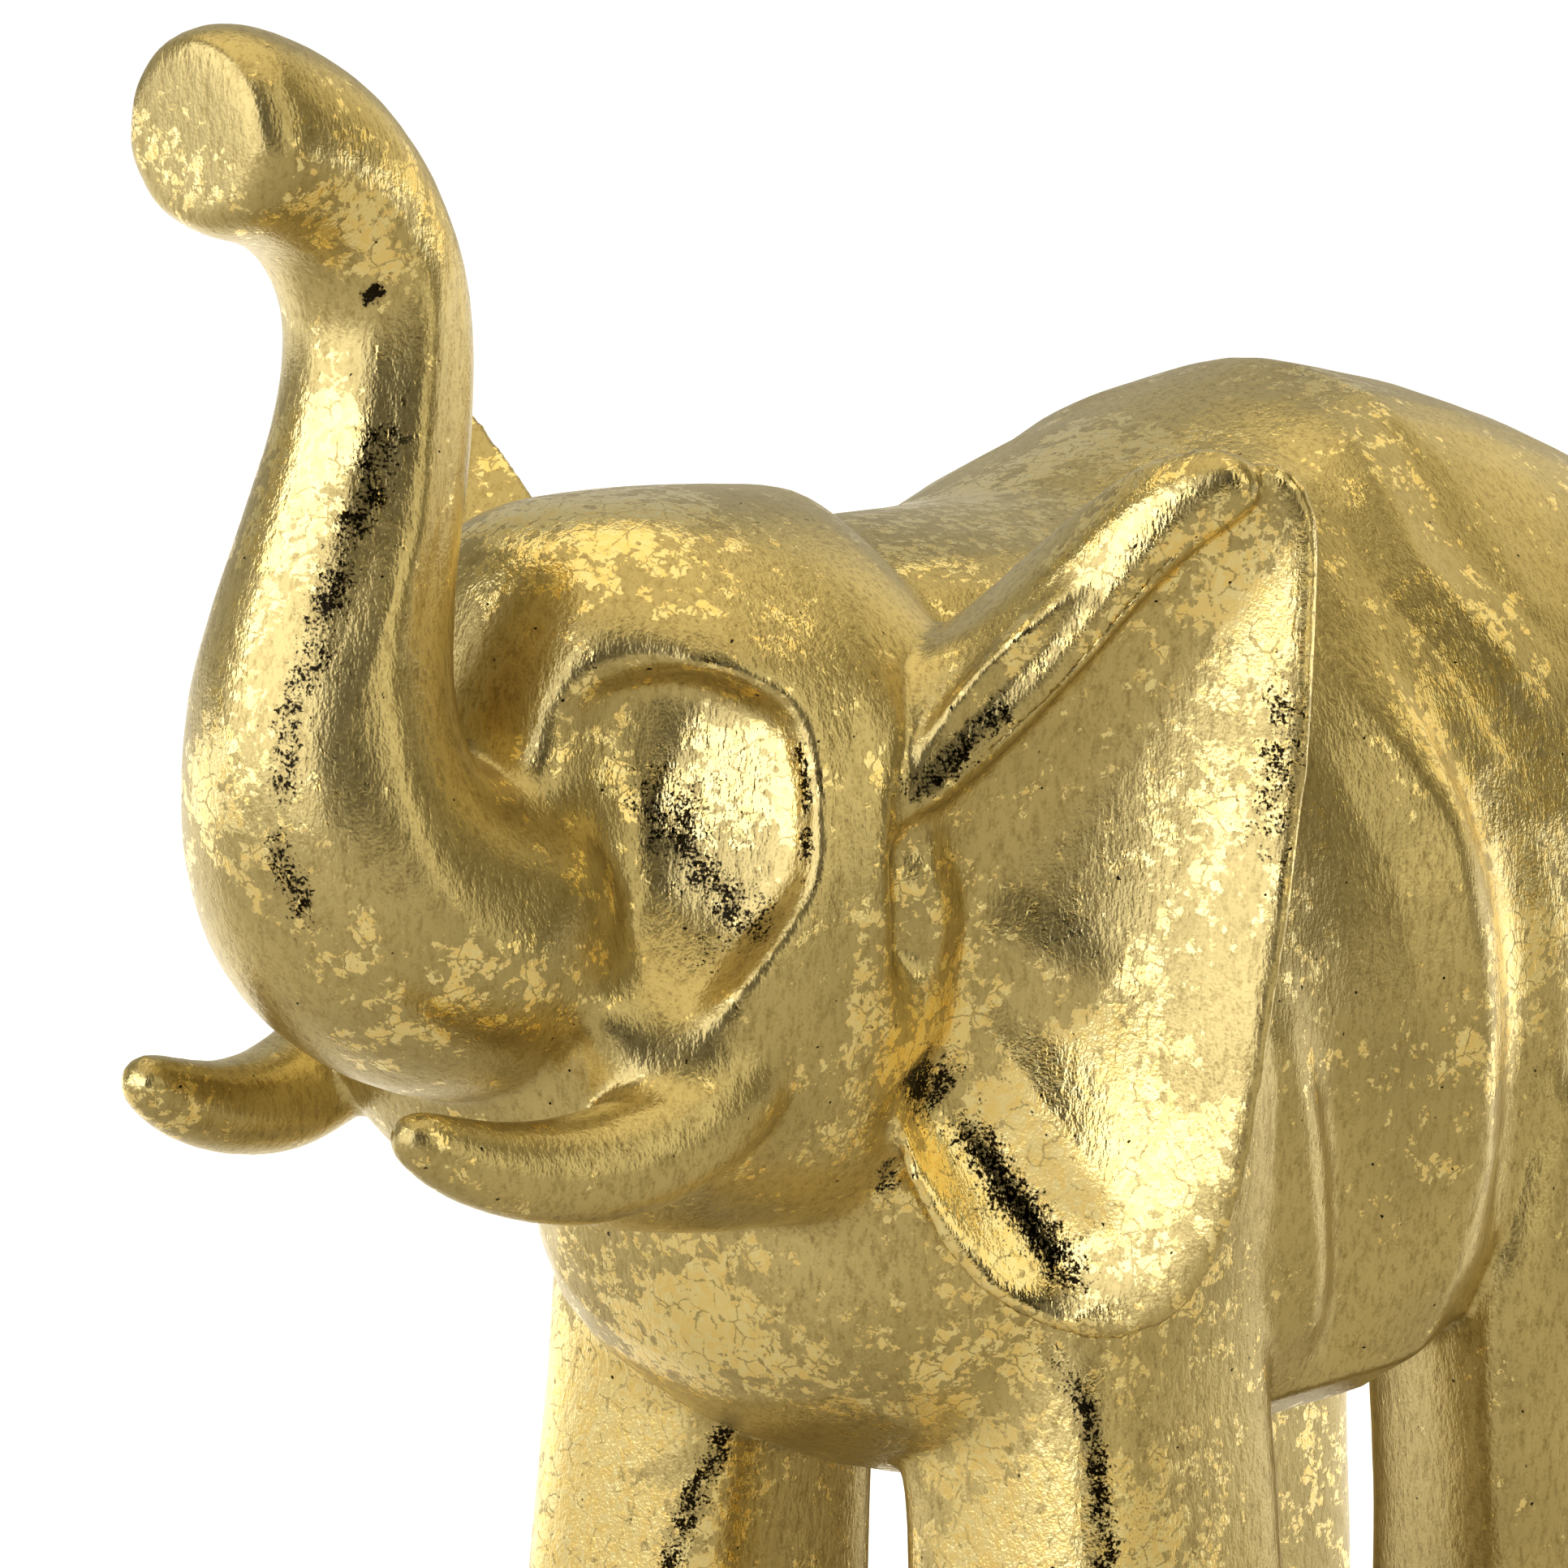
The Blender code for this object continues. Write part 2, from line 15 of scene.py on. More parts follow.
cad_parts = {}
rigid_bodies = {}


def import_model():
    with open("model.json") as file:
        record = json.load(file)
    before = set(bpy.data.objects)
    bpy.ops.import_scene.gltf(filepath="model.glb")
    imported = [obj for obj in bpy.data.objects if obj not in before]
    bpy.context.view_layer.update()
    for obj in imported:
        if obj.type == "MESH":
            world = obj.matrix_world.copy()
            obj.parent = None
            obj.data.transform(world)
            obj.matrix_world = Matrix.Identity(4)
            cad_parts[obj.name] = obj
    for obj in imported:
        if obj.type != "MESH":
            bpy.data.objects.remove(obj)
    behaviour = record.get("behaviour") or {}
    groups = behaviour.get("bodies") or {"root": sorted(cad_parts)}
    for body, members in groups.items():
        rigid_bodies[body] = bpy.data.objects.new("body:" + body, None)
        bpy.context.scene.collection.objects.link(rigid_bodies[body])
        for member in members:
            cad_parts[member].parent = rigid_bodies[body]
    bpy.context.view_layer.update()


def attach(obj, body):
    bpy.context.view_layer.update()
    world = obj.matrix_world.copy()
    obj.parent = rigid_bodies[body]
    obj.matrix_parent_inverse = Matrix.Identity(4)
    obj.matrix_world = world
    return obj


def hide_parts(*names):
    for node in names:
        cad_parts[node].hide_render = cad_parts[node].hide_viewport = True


# Driving size, in metres: soles to the top of the raised trunk
HEIGHT = 0.227

# The figure's own measure. All proportions below are in 227ths of its height.
UNIT = HEIGHT / 227

# Where the figure's own origin, below the back of the head, lies along Y from the part's origin
SHIFT_Y = -40.4
# The legs are modelled longer by this much and cut off flat at the soles
SOLE_TRIM = 6.0

# Torso sections from chest to rump. Each row: place along Y, how far the section's upper
# half leans forward, height of the spine, half the section's outline as (half width, height)
# at back, flank, side and belly edge, height of the belly, and how sharp the section stands
# out as a ridge.
TORSO = (
    (-20, 0, 166, (11, 161), (21, 146), (23, 122), (16, 98), 92, 0.0),
    (-8, 0, 174, (16, 169), (29, 150), (33, 118), (27, 88), 79, 0.0),
    (8, 0, 177, (20, 171), (36, 152), (41, 118), (33, 81), 69, 0.0),
    (24, 0, 176.8, (22, 170), (38, 153), (43.5, 120), (38, 78), 68, 0.0),
    (40, 3, 177.6, (24, 170), (38, 154), (43.5, 126), (39, 78), 71, 0.4),
    (58, 9, 181, (25, 174), (40, 157), (48, 132), (44, 79), 73, 0.7),
    (72, 4, 186, (20, 181), (36, 162), (45, 134), (41, 82), 75, 0.2),
    (85, 6, 189, (19, 183), (37, 163), (46.5, 134), (42, 85), 77, 0.7),
    (104, 2, 185.5, (23, 177), (40, 158), (48, 129), (43, 86), 79, 0.2),
    (124, 0, 178, (23, 170), (39, 152), (46, 125), (39, 88), 82, 0.0),
    (141, 0, 167, (19, 161), (31, 146), (37, 123), (31, 96), 89, 0.0),
    (153, 0, 152, (11, 148), (19, 139), (22, 125), (17, 109), 103, 0.0),
)
# How sharp the lengthwise edges stand out, round a section from the spine's middle
TORSO_EDGES = (0.0, 0.3, 0.2, 0.2, 0.3, 0.0, 0.3, 0.2, 0.2, 0.3)

# Head sections from the throat up. Each row: height, then (half width, Y) of the outline at
# the brow line, inner and outer edge of the eye hollow, cheek behind it, and nape.
HEAD = (
    (106, (0, -34), (9, -32), (15, -26), (19, -14), (20, 6)),
    (112, (0, -43), (12, -41), (20, -34), (26, -20), (26, 6)),
    (119, (0, -50), (17, -46), (25, -39), (31, -21), (29, 6)),
    (128, (0, -53), (20, -49), (28, -41), (34, -22), (31, 6)),
    (138, (0, -52), (21, -49.5), (30.5, -36), (34.5, -23), (32, 5)),
    (148, (0, -50), (20, -49), (31.5, -31), (34.5, -22), (32, 4)),
    (160, (0, -49), (17, -48), (29.5, -30), (32.5, -19), (31, 2)),
    (167, (0, -47), (14, -45), (24.5, -35), (29.5, -19), (28, -1)),
    (175, (0, -43), (10, -41), (17, -33), (20.5, -20), (18, -4)),
    (180.5, (0, -37), (5, -35), (9, -30), (9, -20), (6, -12)),
)
# Y of the nape's middle, and how sharp the upright edges stand out, round from the brow line
NAPE_Y = 8
HEAD_EDGES = (0.0, 0.3, 0.5, 0.3, 0.0, 0.0, 0.0, 0.3, 0.5, 0.3)

# Trunk sections from the face to the tip. Each row: Y and height of the centre, rise of the
# direction in degrees above level forward, half width, half depth.
TRUNK = (
    (-26, 140, 0, 13, 15),
    (-39, 138.5, 2, 16.5, 17.5),
    (-49, 139.5, 12, 21.8, 19),
    (-56.5, 142.5, 34, 20.6, 17.6),
    (-61.8, 148, 56, 17.8, 16),
    (-64.7, 156, 78, 15.4, 14.3),
    (-65, 166, 95, 13.2, 12.6),
    (-61.3, 177, 106, 11, 11.2),
    (-57.6, 188, 103, 9.8, 10),
    (-56.2, 198, 88, 9.5, 9.5),
    (-58.5, 206.5, 58, 9.8, 9.5),
    (-65, 213.8, 26, 10.6, 10),
    (-73, 216.8, 6, 11.2, 10.7),
    (-77.5, 217.2, -1, 11.2, 10.7),
    (-80, 217.2, -3, 9, 8.8),
)
# Corners of the trunk's section, in degrees from its middle in front
TRUNK_CORNERS = (0, 42, 76, 112, 146, 180)
# How sharp the lengthwise edges stand out, in the corners' order, and the edge of the tip
TRUNK_EDGES = (0.0, 0.25, 0.4, 0.1, 0.0, 0.0, 0.0, 0.1, 0.4, 0.25)
TIP_EDGE = 0.7

# Legs from the sole up. Each row: height, inner and outer X, front and back Y at the outer
# side, and how far the front and the back draw in towards the inner side.
FORELEG = (
    (-SOLE_TRIM, 10.5, 46.5, -4.5, 38.5, 0, 3),
    (0, 10.5, 46.5, -4.5, 38.5, 0, 3),
    (12, 11, 46, -3.5, 37.5, 0, 3),
    (40, 12, 44.5, -2, 37, 0, 4),
    (70, 12, 42.5, 0.5, 37.5, 0, 4),
    (80, 9.5, 41.5, 0.8, 37.3, 0, 4),
    (88, 5, 41, 0.9, 37.1, 0, 3),
    (97, 4, 40.5, 1, 37, 0, 3),
    (118, 8, 45, 3, 33, 0, 0),
    (136, 10, 41, 7, 29, 0, 0),
    (152, 12, 33, 11, 26, 0, 0),
)
HINDLEG = (
    (-SOLE_TRIM, 11.5, 47, 77, 128, 5, 0),
    (0, 11.5, 47, 77, 128, 5, 0),
    (12, 12, 46.5, 76, 127, 6, 0),
    (40, 12.5, 46, 70, 126, 10, 0),
    (68, 14, 46, 65.5, 125, 13, 0),
    (90, 12, 47, 65, 136, 10, 0),
    (115, 10, 47.5, 72, 145, 0, 0),
    (137, 12, 43, 83, 138, 0, 0),
    (154, 14, 33, 95, 128, 0, 0),
)
# How square a leg's section is: 2 is an ellipse, more is squarer
LEG_SQUARENESS = 3.8
LEG_SIDES = 16

# Sides of the sections of the tusks and the tail
TUBE_SIDES = 8

# Tusk from inside the cheek to the tip. Each row: X, Y, height, radius.
TUSK = (
    (22, -26, 134, 6.5),
    (24, -33, 127, 7.2),
    (24.3, -40, 122.6, 6.9),
    (23, -48, 120, 6.4),
    (21.3, -56, 120, 5.7),
    (20, -63, 121.6, 4.8),
    (18.8, -69.5, 124.4, 3.8),
    (18.1, -73.4, 127, 2.5),
)

# Ear. Its outline is seen square on: along the ear backward from its root, and height.
EAR_ROOT = (33.0, -22.0)
EAR_TURN = 47.0
EAR_OUTLINE = (
    (6, 163), (12, 169), (20, 175), (26, 180.5), (32, 184.5), (37, 186), (41, 184),
    (42.5, 179.5), (42.2, 172), (42, 160), (41, 148), (39, 136), (37, 122), (35, 110),
    (31, 101), (25, 96.5), (17, 97.5), (9, 102), (3, 111), (0, 124), (-1, 138), (0, 152),
)
EAR_THICKNESS = 4.2
EAR_RINGS = 5
# The dish of the ear: its centre along the ear and in height, its depth at the middle
EAR_DISH = (14.0, 139.0, 9.0)
# How far the lower end of the ear lies in towards the body, the height from which it does,
# over how much height it comes, and how much of it comes late
EAR_TUCK = (3.5, 140, 42, 1.3)
# How much the ear's rear swings out for each unit along, from which height down, and over
# how much height that comes
EAR_TWIST = (0.22, 150, 40)
# Rolled upper rim of the ear from root to tip. Each row: the outline behind it, its ridge,
# the crease under it and its back, all as (X, Y, height).
RIM = (
    ((20, -1, 166), (27, -19.5, 164), (32.5, -24, 147), (22, -6, 148)),
    ((25, -1, 169), (32.5, -14, 166), (36, -19, 151), (30, -3, 153)),
    ((32.5, -0.5, 175.5), (39, -9, 171.5), (42.5, -11, 159), (38, -2, 163)),
    ((40.5, 0, 182), (46, -6, 178.5), (48.5, -6, 168), (45.5, 0.5, 172)),
    ((48, 1, 186.5), (52, -2, 184), (53.5, -1.5, 176.5), (52, 3.5, 178)),
    ((55.5, 5, 187), (58, 2.5, 185.5), (59, 3.5, 181), (57.5, 7.5, 181)),
)
# How sharp the rim's lengthwise edges stand out: at these four lines and between them
RIM_EDGES = (0.2, 0.0, 0.1, 0.0, 0.4, 0.0, 0.2, 0.0)

# Eye hollow, cut into the side of the head inside an angular rim. The rim's corners are
# seen square on: along the face backward, and height. Then the compass turn of the face,
# how far out it stands at a height, how much less for each unit further up, the middle of
# the hollow and its rings as shares of the rim.
EYE_RIM = (
    (-41, 156), (-30, 166.5), (-19, 166), (-10.8, 161.5), (-10.5, 146), (-16.5, 138.5),
    (-28, 126), (-42, 143),
)
EYE_TURN = 60.0
EYE_STAND = (41.0, 149.0, 0.2)
EYE_MIDDLE = (-26.0, 147.0)
EYE_SHARES = (1.35, 1.0, 0.93, 0.8, 0.6, 0.4, 0.2)
# How far the cutter's rim stands off the face, how fast it widens outside the face, and how
# sharp the ring at the rim is
EYE_PLAY = 0.3
EYE_FLARE = 25
EYE_EDGE = 0.5
# Planes of the hollow's floor: the step under its rear rim, then how much deeper each plane
# gets for each unit away from its edge: forward from the rear, back from behind the trunk,
# up from the foot and down from the brow
EYE_STEP = 1.2
EYE_REAR = (0.56, -10.5)
EYE_FORE = (0.38, -49.0)
EYE_FOOT = (0.55, 126.0)
EYE_BROW = (6.0, 167.5)

# Lines carved into the surface, both sides alike. Each row: how far the line stands out, or
# sinks if less than 0, its width, whether its crest is sharp, then points near the surface
# as (X, Y, height).
CARVING = (
    # rear edge of the shoulder, and the groove behind it
    (1.0, 4.5, True, (44, 28, 131), (42, 34.6, 107), (40.6, 37, 97), (39, 38, 86)),
    (-1.5, 5.0, False, (42, 37.7, 120), (42, 41.6, 108.6), (41, 43.3, 96), (38, 44.3, 85)),
    # ridge over the ribs, and the hollow behind it
    (1.7, 8.0, True, (37, 46.7, 156), (44, 54.6, 141), (46, 58.6, 121), (43.4, 60.7, 93)),
    (-1.3, 8.0, False, (36, 54, 160), (44, 67, 135), (44, 70, 119), (41, 71, 91)),
    # ridge from the hump down the loin, and the front edge of the thigh
    (1.4, 8.0, True, (12.5, 70, 183), (31, 66, 167), (40.6, 79, 149)),
    (1.2, 6.0, True, (39.8, 70, 83.5), (43, 74, 103), (44, 78, 114)),
    # groove between cheek and ear, and the edge of the cheek before it
    (-2.4, 4.2, False, (34.6, -19.5, 150), (34, -19.8, 144), (33.6, -18, 134)),
    (0.9, 4.5, True, (31, -18, 163), (33, -23, 152), (33.4, -23.6, 136)),
    # fold of the ear from its root to its lower tip, and the swell above it
    (-3.0, 9.0, False, (30, -15.6, 125.5), (33.6, -6.8, 114), (43.5, -2, 101)),
    (1.3, 7.0, False, (34.8, -17, 143), (38, -9, 137), (44, -3, 131)),
    # crease under the ear's rolled rim
    (-1.2, 3.2, False, (36, -17.5, 152.5), (43.5, -9.4, 161.4), (52.4, -2.1, 175), (56, 1, 180)),
    # edge along the trunk
    (0.8, 3.5, True, (9.2, -58, 206), (8.9, -59.6, 193), (10, -62, 181), (11, -70.7, 165)),
)
# Compass turn from which all carved lines are seen, and how fast they fade where the surface
# turns away from there, with the share left where it is square to it
CARVED_FROM = 55.0
CARVED_FACING = (2, 0.2)
# How much of a line's length its ends take to fade, and the share of its height left there
CARVED_ENDS = 0.18
CARVED_LEAST = 0.25

# Places where neighbouring forms run into each other without an edge: X, Y, height, reach.
# Both sides are alike.
MELTED = (
    (12, -48.5, 156, 10), (14, -47, 160.5, 10), (17.5, -43.5, 164.5, 8),
    (20.5, -48.5, 138, 8), (23, -44, 131, 7), (26, -35, 130, 7), (29, -26, 126, 8),
    (24, -12, 110, 9), (38, 6, 96, 8), (30, 0, 86, 8), (38, 62, 80, 7), (8, -30, 108, 9),
)
# How far melting spreads, as rounds of softening times the square of the skin's step, how
# steeply it sets in, and in how many steps
MELT_SPREAD = 70.0
MELT_SLOPE = 1.6
MELT_LEVELS = 10

# Tail from the rump down. Each row: Y, height, radius.
TAIL = (
    (147, 160, 5.0),
    (155, 151, 4.8),
    (158.5, 139, 4.6),
    (158.5, 124, 4.4),
    (155.5, 110, 4.4),
    (150, 98, 4.6),
    (143, 88, 4.8),
    (138, 79, 3.0),
)

# Fineness of the shown surface: the size of its steps, rounds of softening, and triangles
# before the legs are cut off
SKIN_VOXEL = 0.72 * UNIT
SKIN_SMOOTHING = 6
SKIN_TRIANGLES = 186000
# How far each round of softening moves a point towards its neighbours, as a share
SOFTENING = 0.5

# Unevenness left by the modeller's hand: wave length and height of each layer, in metres
HAND_WAVES = ((0.011, 0.00016), (0.0042, 0.00006))

# Lines along which the leaf is darkened: partly wear that chips it to the dark, partly painted
# dark reflection where the surface faces the dark side round the camera. Each row: how much is
# gone at the line, its reach in the figure's measure, and its points.
WEAR_AND_DARK_REFLECTION_LINES = (
    # along the trunk and its bulge, and a chip under the tip
    (0.41, 3.2, (8, -62.5, 192), (7.5, -67, 181.5), (7, -73.6, 168), (5.6, -75.7, 153.6)),
    (0.40, 3.2, (5.6, -75.7, 153.6), (6, -74.8, 148), (7.5, -73.4, 144.5)),
    (0.66, 1.5, (5.6, -64.5, 201.4), (7.2, -63.4, 202.7)),
    # bottom of the eye hollow, and inside its rear rim
    (0.40, 6.0, (17, -39, 157), (20, -36, 148), (24, -35, 143.5)),
    (0.56, 4.5, (23, -35.5, 143.5), (28.5, -34.3, 142)),
    (0.42, 3.5, (25, -35, 142), (22.7, -39.8, 137.7)),
    (0.50, 1.4, (28, -29.8, 159.4), (29.5, -29.5, 154), (30.2, -31, 146)),
    # foot of the ear's rolled rim
    (0.45, 2.9, (33.7, -20.7, 152.3), (35.7, -17, 155.2), (40, -12, 162)),
    # fold of the ear, the neck before it, and the ear's rear edge
    (0.50, 5.6, (30, -15.6, 125.5), (30.5, -10, 120.6)),
    (0.42, 4.8, (30.5, -10, 120.6), (33.6, -6.8, 114), (37.8, -4.4, 107.6), (43.5, -2.5, 101)),
    (0.42, 3.0, (27.5, -15.7, 116), (26.4, -13.3, 111.5)),
    (0.34, 4.2, (58.6, 7.9, 164.2), (58, 7.5, 156.2), (56.2, 5.7, 144.3)),
    # front corners of the forelegs
    (0.46, 2.4, (32, 0.5, 96.5), (35.5, 2.5, 91.7), (38.1, 3.8, 87), (39.2, 4.3, 78.6),
     (40, 4.5, 72), (41.5, 4, 54), (43, 2, 30)),
    (0.44, 3.0, (-11, 4.5, 79), (-13.6, 4, 73.6), (-15.3, 2.6, 69), (-17.5, 1.1, 61.8),
     (-20, 0, 40)),
)

# Regions where the leaf holds better than elsewhere, in the same form
LEAFED_LINES = (
    # forelegs
    (0.29, 26, (30, 5, 92), (32, 8, 0)),
    (0.29, 26, (-28, 5, 88), (-28, 5, 0)),
    # lower part of the ear and its rear edge
    (0.40, 25, (36, -10, 124), (47, -2, 108)),
    (0.17, 19, (57, 4, 176), (55, 3, 140)),
    # dome, spine, flank behind the ribs, chest, ear rim and trunk tip
    (0.19, 18, (-4, -30, 179), (14, -30, 175)),
    (0.17, 24, (2, 15, 176), (5, 62, 182)),
    (0.18, 17, (42, 58, 158), (46, 72, 112)),
    (0.19, 14, (-6, -14, 94), (22, -10, 104)),
    (0.18, 9, (37, -13, 168), (53, -2, 183)),
    (0.19, 10, (10, -68, 214), (9, -57, 205)),
    # rear of the eye hollow, and the trunk's inner side
    (0.34, 11, (26, -33, 160), (25, -35, 150)),
    (0.24, 7, (1, -66, 196), (1, -73, 181), (0, -79, 166), (-2, -81, 152)),
    # forehead beside the ear, and a seam on the trunk's tip
    (0.14, 12, (20, -27, 170), (29, -20, 160)),
    (0.34, 0.9, (-3.2, -79.5, 222), (-1.5, -80, 211)),
)
# How steeply a line sets in from its side and from its ends, and the share at its very ends
LINE_SLOPE = 1.3
LINE_ENDS = (6, 0.35)

# Sizes in metres of the leaf's broad swing, its patches, its flakes and its cracks, of the
# ground's grain and streaks, and how far noise tears the flakes' edges
BROAD_SIZE = 0.022
PATCH_SIZE = 0.0034
FLAKE_SIZE = 0.0008
CRACK_SIZE = 0.0026
GRAIN_SIZE = 0.00034
STREAK_SIZE = 0.0008
TEAR_REACH = 0.0022
# How much the broad swing counts beside the patches, and what is taken off both together
SWING_SHARE = 0.6
COVER_LESS = 0.15
# The streaks' direction, in radians, and how far they are drawn out along it
STREAK_TURN = (0.5, 0.3, 0.9)
STREAK_SCALE = (1, 1, 0.4)

# Where each look sets in and where it is full
LEAF_FROM = (0.500, 0.525)
FLAKES_FROM = (0.42, 0.46)
FLAKE_CHANCE = (0.62, 0.64)
CRACK_WIDTH = (0.05, 0.02)
CRACKS_FROM = (0.50, 0.56)
GROUND_FROM = (0.35, 0.65)
CREASE_FROM = (0.50, 0.80)
DARK_FROM = (1.28, 1.46)
PINHOLE_CHANCE = (0.988, 0.989)
PINHOLE_WIDTH = (0.26, 0.18)
# How much flakes, grain and patches each count in where the dark shows
DARK_SHARES = (0.16, 0.9, 0.9)

# Colours: the ground in its two tones and in its creases, the leaf in its two tones, and
# the dark under both, which along the darkened lines is also painted dark reflection
GROUND_TONES = ((0.66, 0.54, 0.25, 1), (0.50, 0.41, 0.19, 1))
CREASE_TONE = (0.40, 0.31, 0.13, 1)
LEAF_TONES = ((0.97, 0.74, 0.29, 1), (0.97, 0.84, 0.44, 1))
DARK_TONE = (0.012, 0.008, 0.003, 1)
# Metal and roughness, each of the ground and of the leaf
METAL = (0.9, 1.0)
ROUGHNESS = (0.29, 0.19)
# Relief of the surface's grain and streaks: its height in metres, its strength, and how much
# the grain and the creases take from the grain
RELIEF_HEIGHT = 0.00016
RELIEF_STRENGTH = 0.6
RELIEF_GRAIN = 0.4
CREASE_GRAIN = 0.5

# Camera: compass turn and height of its place in degrees, its distance and the point that
# it looks at in metres, and its lens in millimetres
CAMERA_TURN = 42.0
CAMERA_RISE = 9.2
CAMERA_DISTANCE = 0.580
CAMERA_TARGET = (0.0, SHIFT_Y * UNIT, 0.148)
CAMERA_LENS = 129.69
CAMERA_SENSOR = 36
CAMERA_CLIP = (0.01, 100)

# Softboxes. Each row: compass turn, rise, distance, width, height, watts, colour.
SOFTBOXES = (
    ("left softbox", -10, 14, 0.95, 1.45, 1.1, 9.0, (1.0, 0.98, 0.93)),
    ("right softbox", 90, 20, 1.1, 0.70, 1.0, 2.2, (1.0, 0.93, 0.70)),
    ("rear softbox", 172, 22, 1.2, 1.1, 1.0, 2.4, (1.0, 0.86, 0.52)),
    ("top softbox", 60, 88, 1.1, 1.6, 1.6, 8.0, (1.0, 0.87, 0.58)),
)

# The studio round the object, by angle from its dark side: dark, dim and light parts
DARK_SIDE = (50.0, 4.0)
STUDIO_STEPS = ((0.0, (0.010, 0.008, 0.005)), (0.04, (0.015, 0.012, 0.008)),
                (0.14, (0.15, 0.125, 0.06)), (0.6, (0.22, 0.185, 0.09)),
                (1.0, (0.52, 0.50, 0.42)))

# Floor: its radius in metres, its colour and roughness, and over what distance behind the
# object it brightens to white
FLOOR_RADIUS = 40
FLOOR_SIDES = 96
FLOOR_TONE = (0.70, 0.69, 0.67, 1)
FLOOR_ROUGHNESS = 0.9
FLOOR_FADE = (0.0, 0.2)


def place(x, y, z):
    """A point of the figure's own measure, in metres in the part's frame."""
    return Vector((x, y + SHIFT_Y, z)) * UNIT


def loft(name, rings, collection, ring_creases=None, side_creases=None, levels=2):
    """A closed tube through rings of points, smoothed by subdivision, with ridges where
    a whole ring or a lengthwise row of edges is given a crease."""
    mesh = bpy.data.meshes.new(name)
    form = bmesh.new()
    crease = form.edges.layers.float.new("crease_edge")
    rows = [[form.verts.new(place(*point)) for point in ring] for ring in rings]
    count = len(rows[0])
    for lower, upper in zip(rows, rows[1:]):
        for k in range(count):
            after = (k + 1) % count
            form.faces.new((lower[k], lower[after], upper[after], upper[k]))
    form.faces.new(list(reversed(rows[0])))
    form.faces.new(rows[-1])
    for index, row in enumerate(rows):
        if ring_creases and ring_creases[index]:
            for k in range(count):
                form.edges.get((row[k], row[(k + 1) % count]))[crease] = ring_creases[index]
    if side_creases:
        for lower, upper in zip(rows, rows[1:]):
            for k in range(count):
                form.edges.get((lower[k], upper[k]))[crease] = side_creases[k]
    bmesh.ops.recalc_face_normals(form, faces=form.faces)
    form.to_mesh(mesh)
    form.free()
    body = bpy.data.objects.new(name, mesh)
    collection.objects.link(body)
    smooth = body.modifiers.new("soft form", "SUBSURF")
    smooth.levels = levels
    smooth.render_levels = levels
    return body


def mirrored_row(half):
    """A full ring from a half given from one middle point to the other."""
    inner = [(-x, y, z) for x, y, z in half if x > 1e-6]
    return list(half) + list(reversed(inner))


def torso(collection):
    rings = []
    for y, lean, spine, back, flank, side, edge, belly, _ in TORSO:
        half = []
        for x, z in ((0, spine), back, flank, side, edge, (0, belly)):
            rise = max(0.0, (z - side[1]) / (spine - side[1]))
            half.append((x, y - lean * rise, z))
        rings.append(mirrored_row(half))
    return loft("torso", rings, collection, [row[-1] for row in TORSO], TORSO_EDGES)


def head(collection):
    rings = []
    for z, *half in HEAD:
        rings.append(mirrored_row([(x, y, z) for x, y in half] + [(0, NAPE_Y, z)]))
    skull = loft("head", rings, collection, None, HEAD_EDGES)
    for side in (1, -1):
        scoop(skull, eye_hollow(side, collection))
    return skull


def trunk_ring(y, z, rise, half_width, half_depth):
    """The section's middle in front is on the trunk's outer, lower side."""
    angle = math.radians(rise)
    down = Vector((0, -math.sin(angle), -math.cos(angle)))
    centre = Vector((0, y, z))
    half = []
    for corner in TRUNK_CORNERS:
        turn = math.radians(corner)
        point = centre + down * half_depth * math.cos(turn)
        half.append((half_width * math.sin(turn), point.y, point.z))
    return mirrored_row(half)


def trunk(collection):
    rings = [trunk_ring(*row) for row in TRUNK]
    ring_creases = [0.0] * (len(TRUNK) - 1) + [TIP_EDGE]
    return loft("trunk", rings, collection, ring_creases, TRUNK_EDGES)


def leg_ring(z, inner, outer, front, back, front_draw, back_draw, side):
    """A section of a leg, between an ellipse and a rectangle."""
    ring = []
    for k in range(LEG_SIDES):
        turn = 2 * math.pi * (k + 0.5) / LEG_SIDES
        wave = [math.cos(turn), math.sin(turn)]
        spread = [math.copysign(abs(w) ** (2 / LEG_SQUARENESS), w) for w in wave]
        x = (inner + outer) / 2 + spread[0] * (outer - inner) / 2
        inward = (outer - x) / (outer - inner)
        fore = front + front_draw * inward
        aft = back - back_draw * inward
        y = (fore + aft) / 2 + spread[1] * (aft - fore) / 2
        ring.append((side * x, y, z))
    return ring


def leg(name, rows, side, collection):
    return loft(name, [leg_ring(*row, side) for row in rows], collection)


def tube_rings(path):
    """Round sections square to a path given as (x, y, z, radius). Each faces the same way
    as the one before, also where the path goes past the vertical."""
    points = [Vector(row[:3]) for row in path]
    across = Vector((1, 0, 0))
    rings = []
    for k, row in enumerate(path):
        ahead = (points[min(k + 1, len(points) - 1)] - points[max(k - 1, 0)]).normalized()
        level = ahead.cross(Vector((0, 0, 1))).normalized()
        across = -level if level.dot(across) < 0 else level
        over = across.cross(ahead)
        ring = []
        for side in range(TUBE_SIDES):
            turn = 2 * math.pi * side / TUBE_SIDES
            out = across * math.cos(turn) + over * math.sin(turn)
            ring.append(tuple(points[k] + out * row[3]))
        rings.append(ring)
    return rings


def tusk(side, collection):
    path = [(side * x, y, z, radius) for x, y, z, radius in TUSK]
    return loft("tusk", tube_rings(path), collection)


def tail(collection):
    path = [(0.0, y, z, radius) for y, z, radius in TAIL]
    return loft("tail", tube_rings(path), collection)


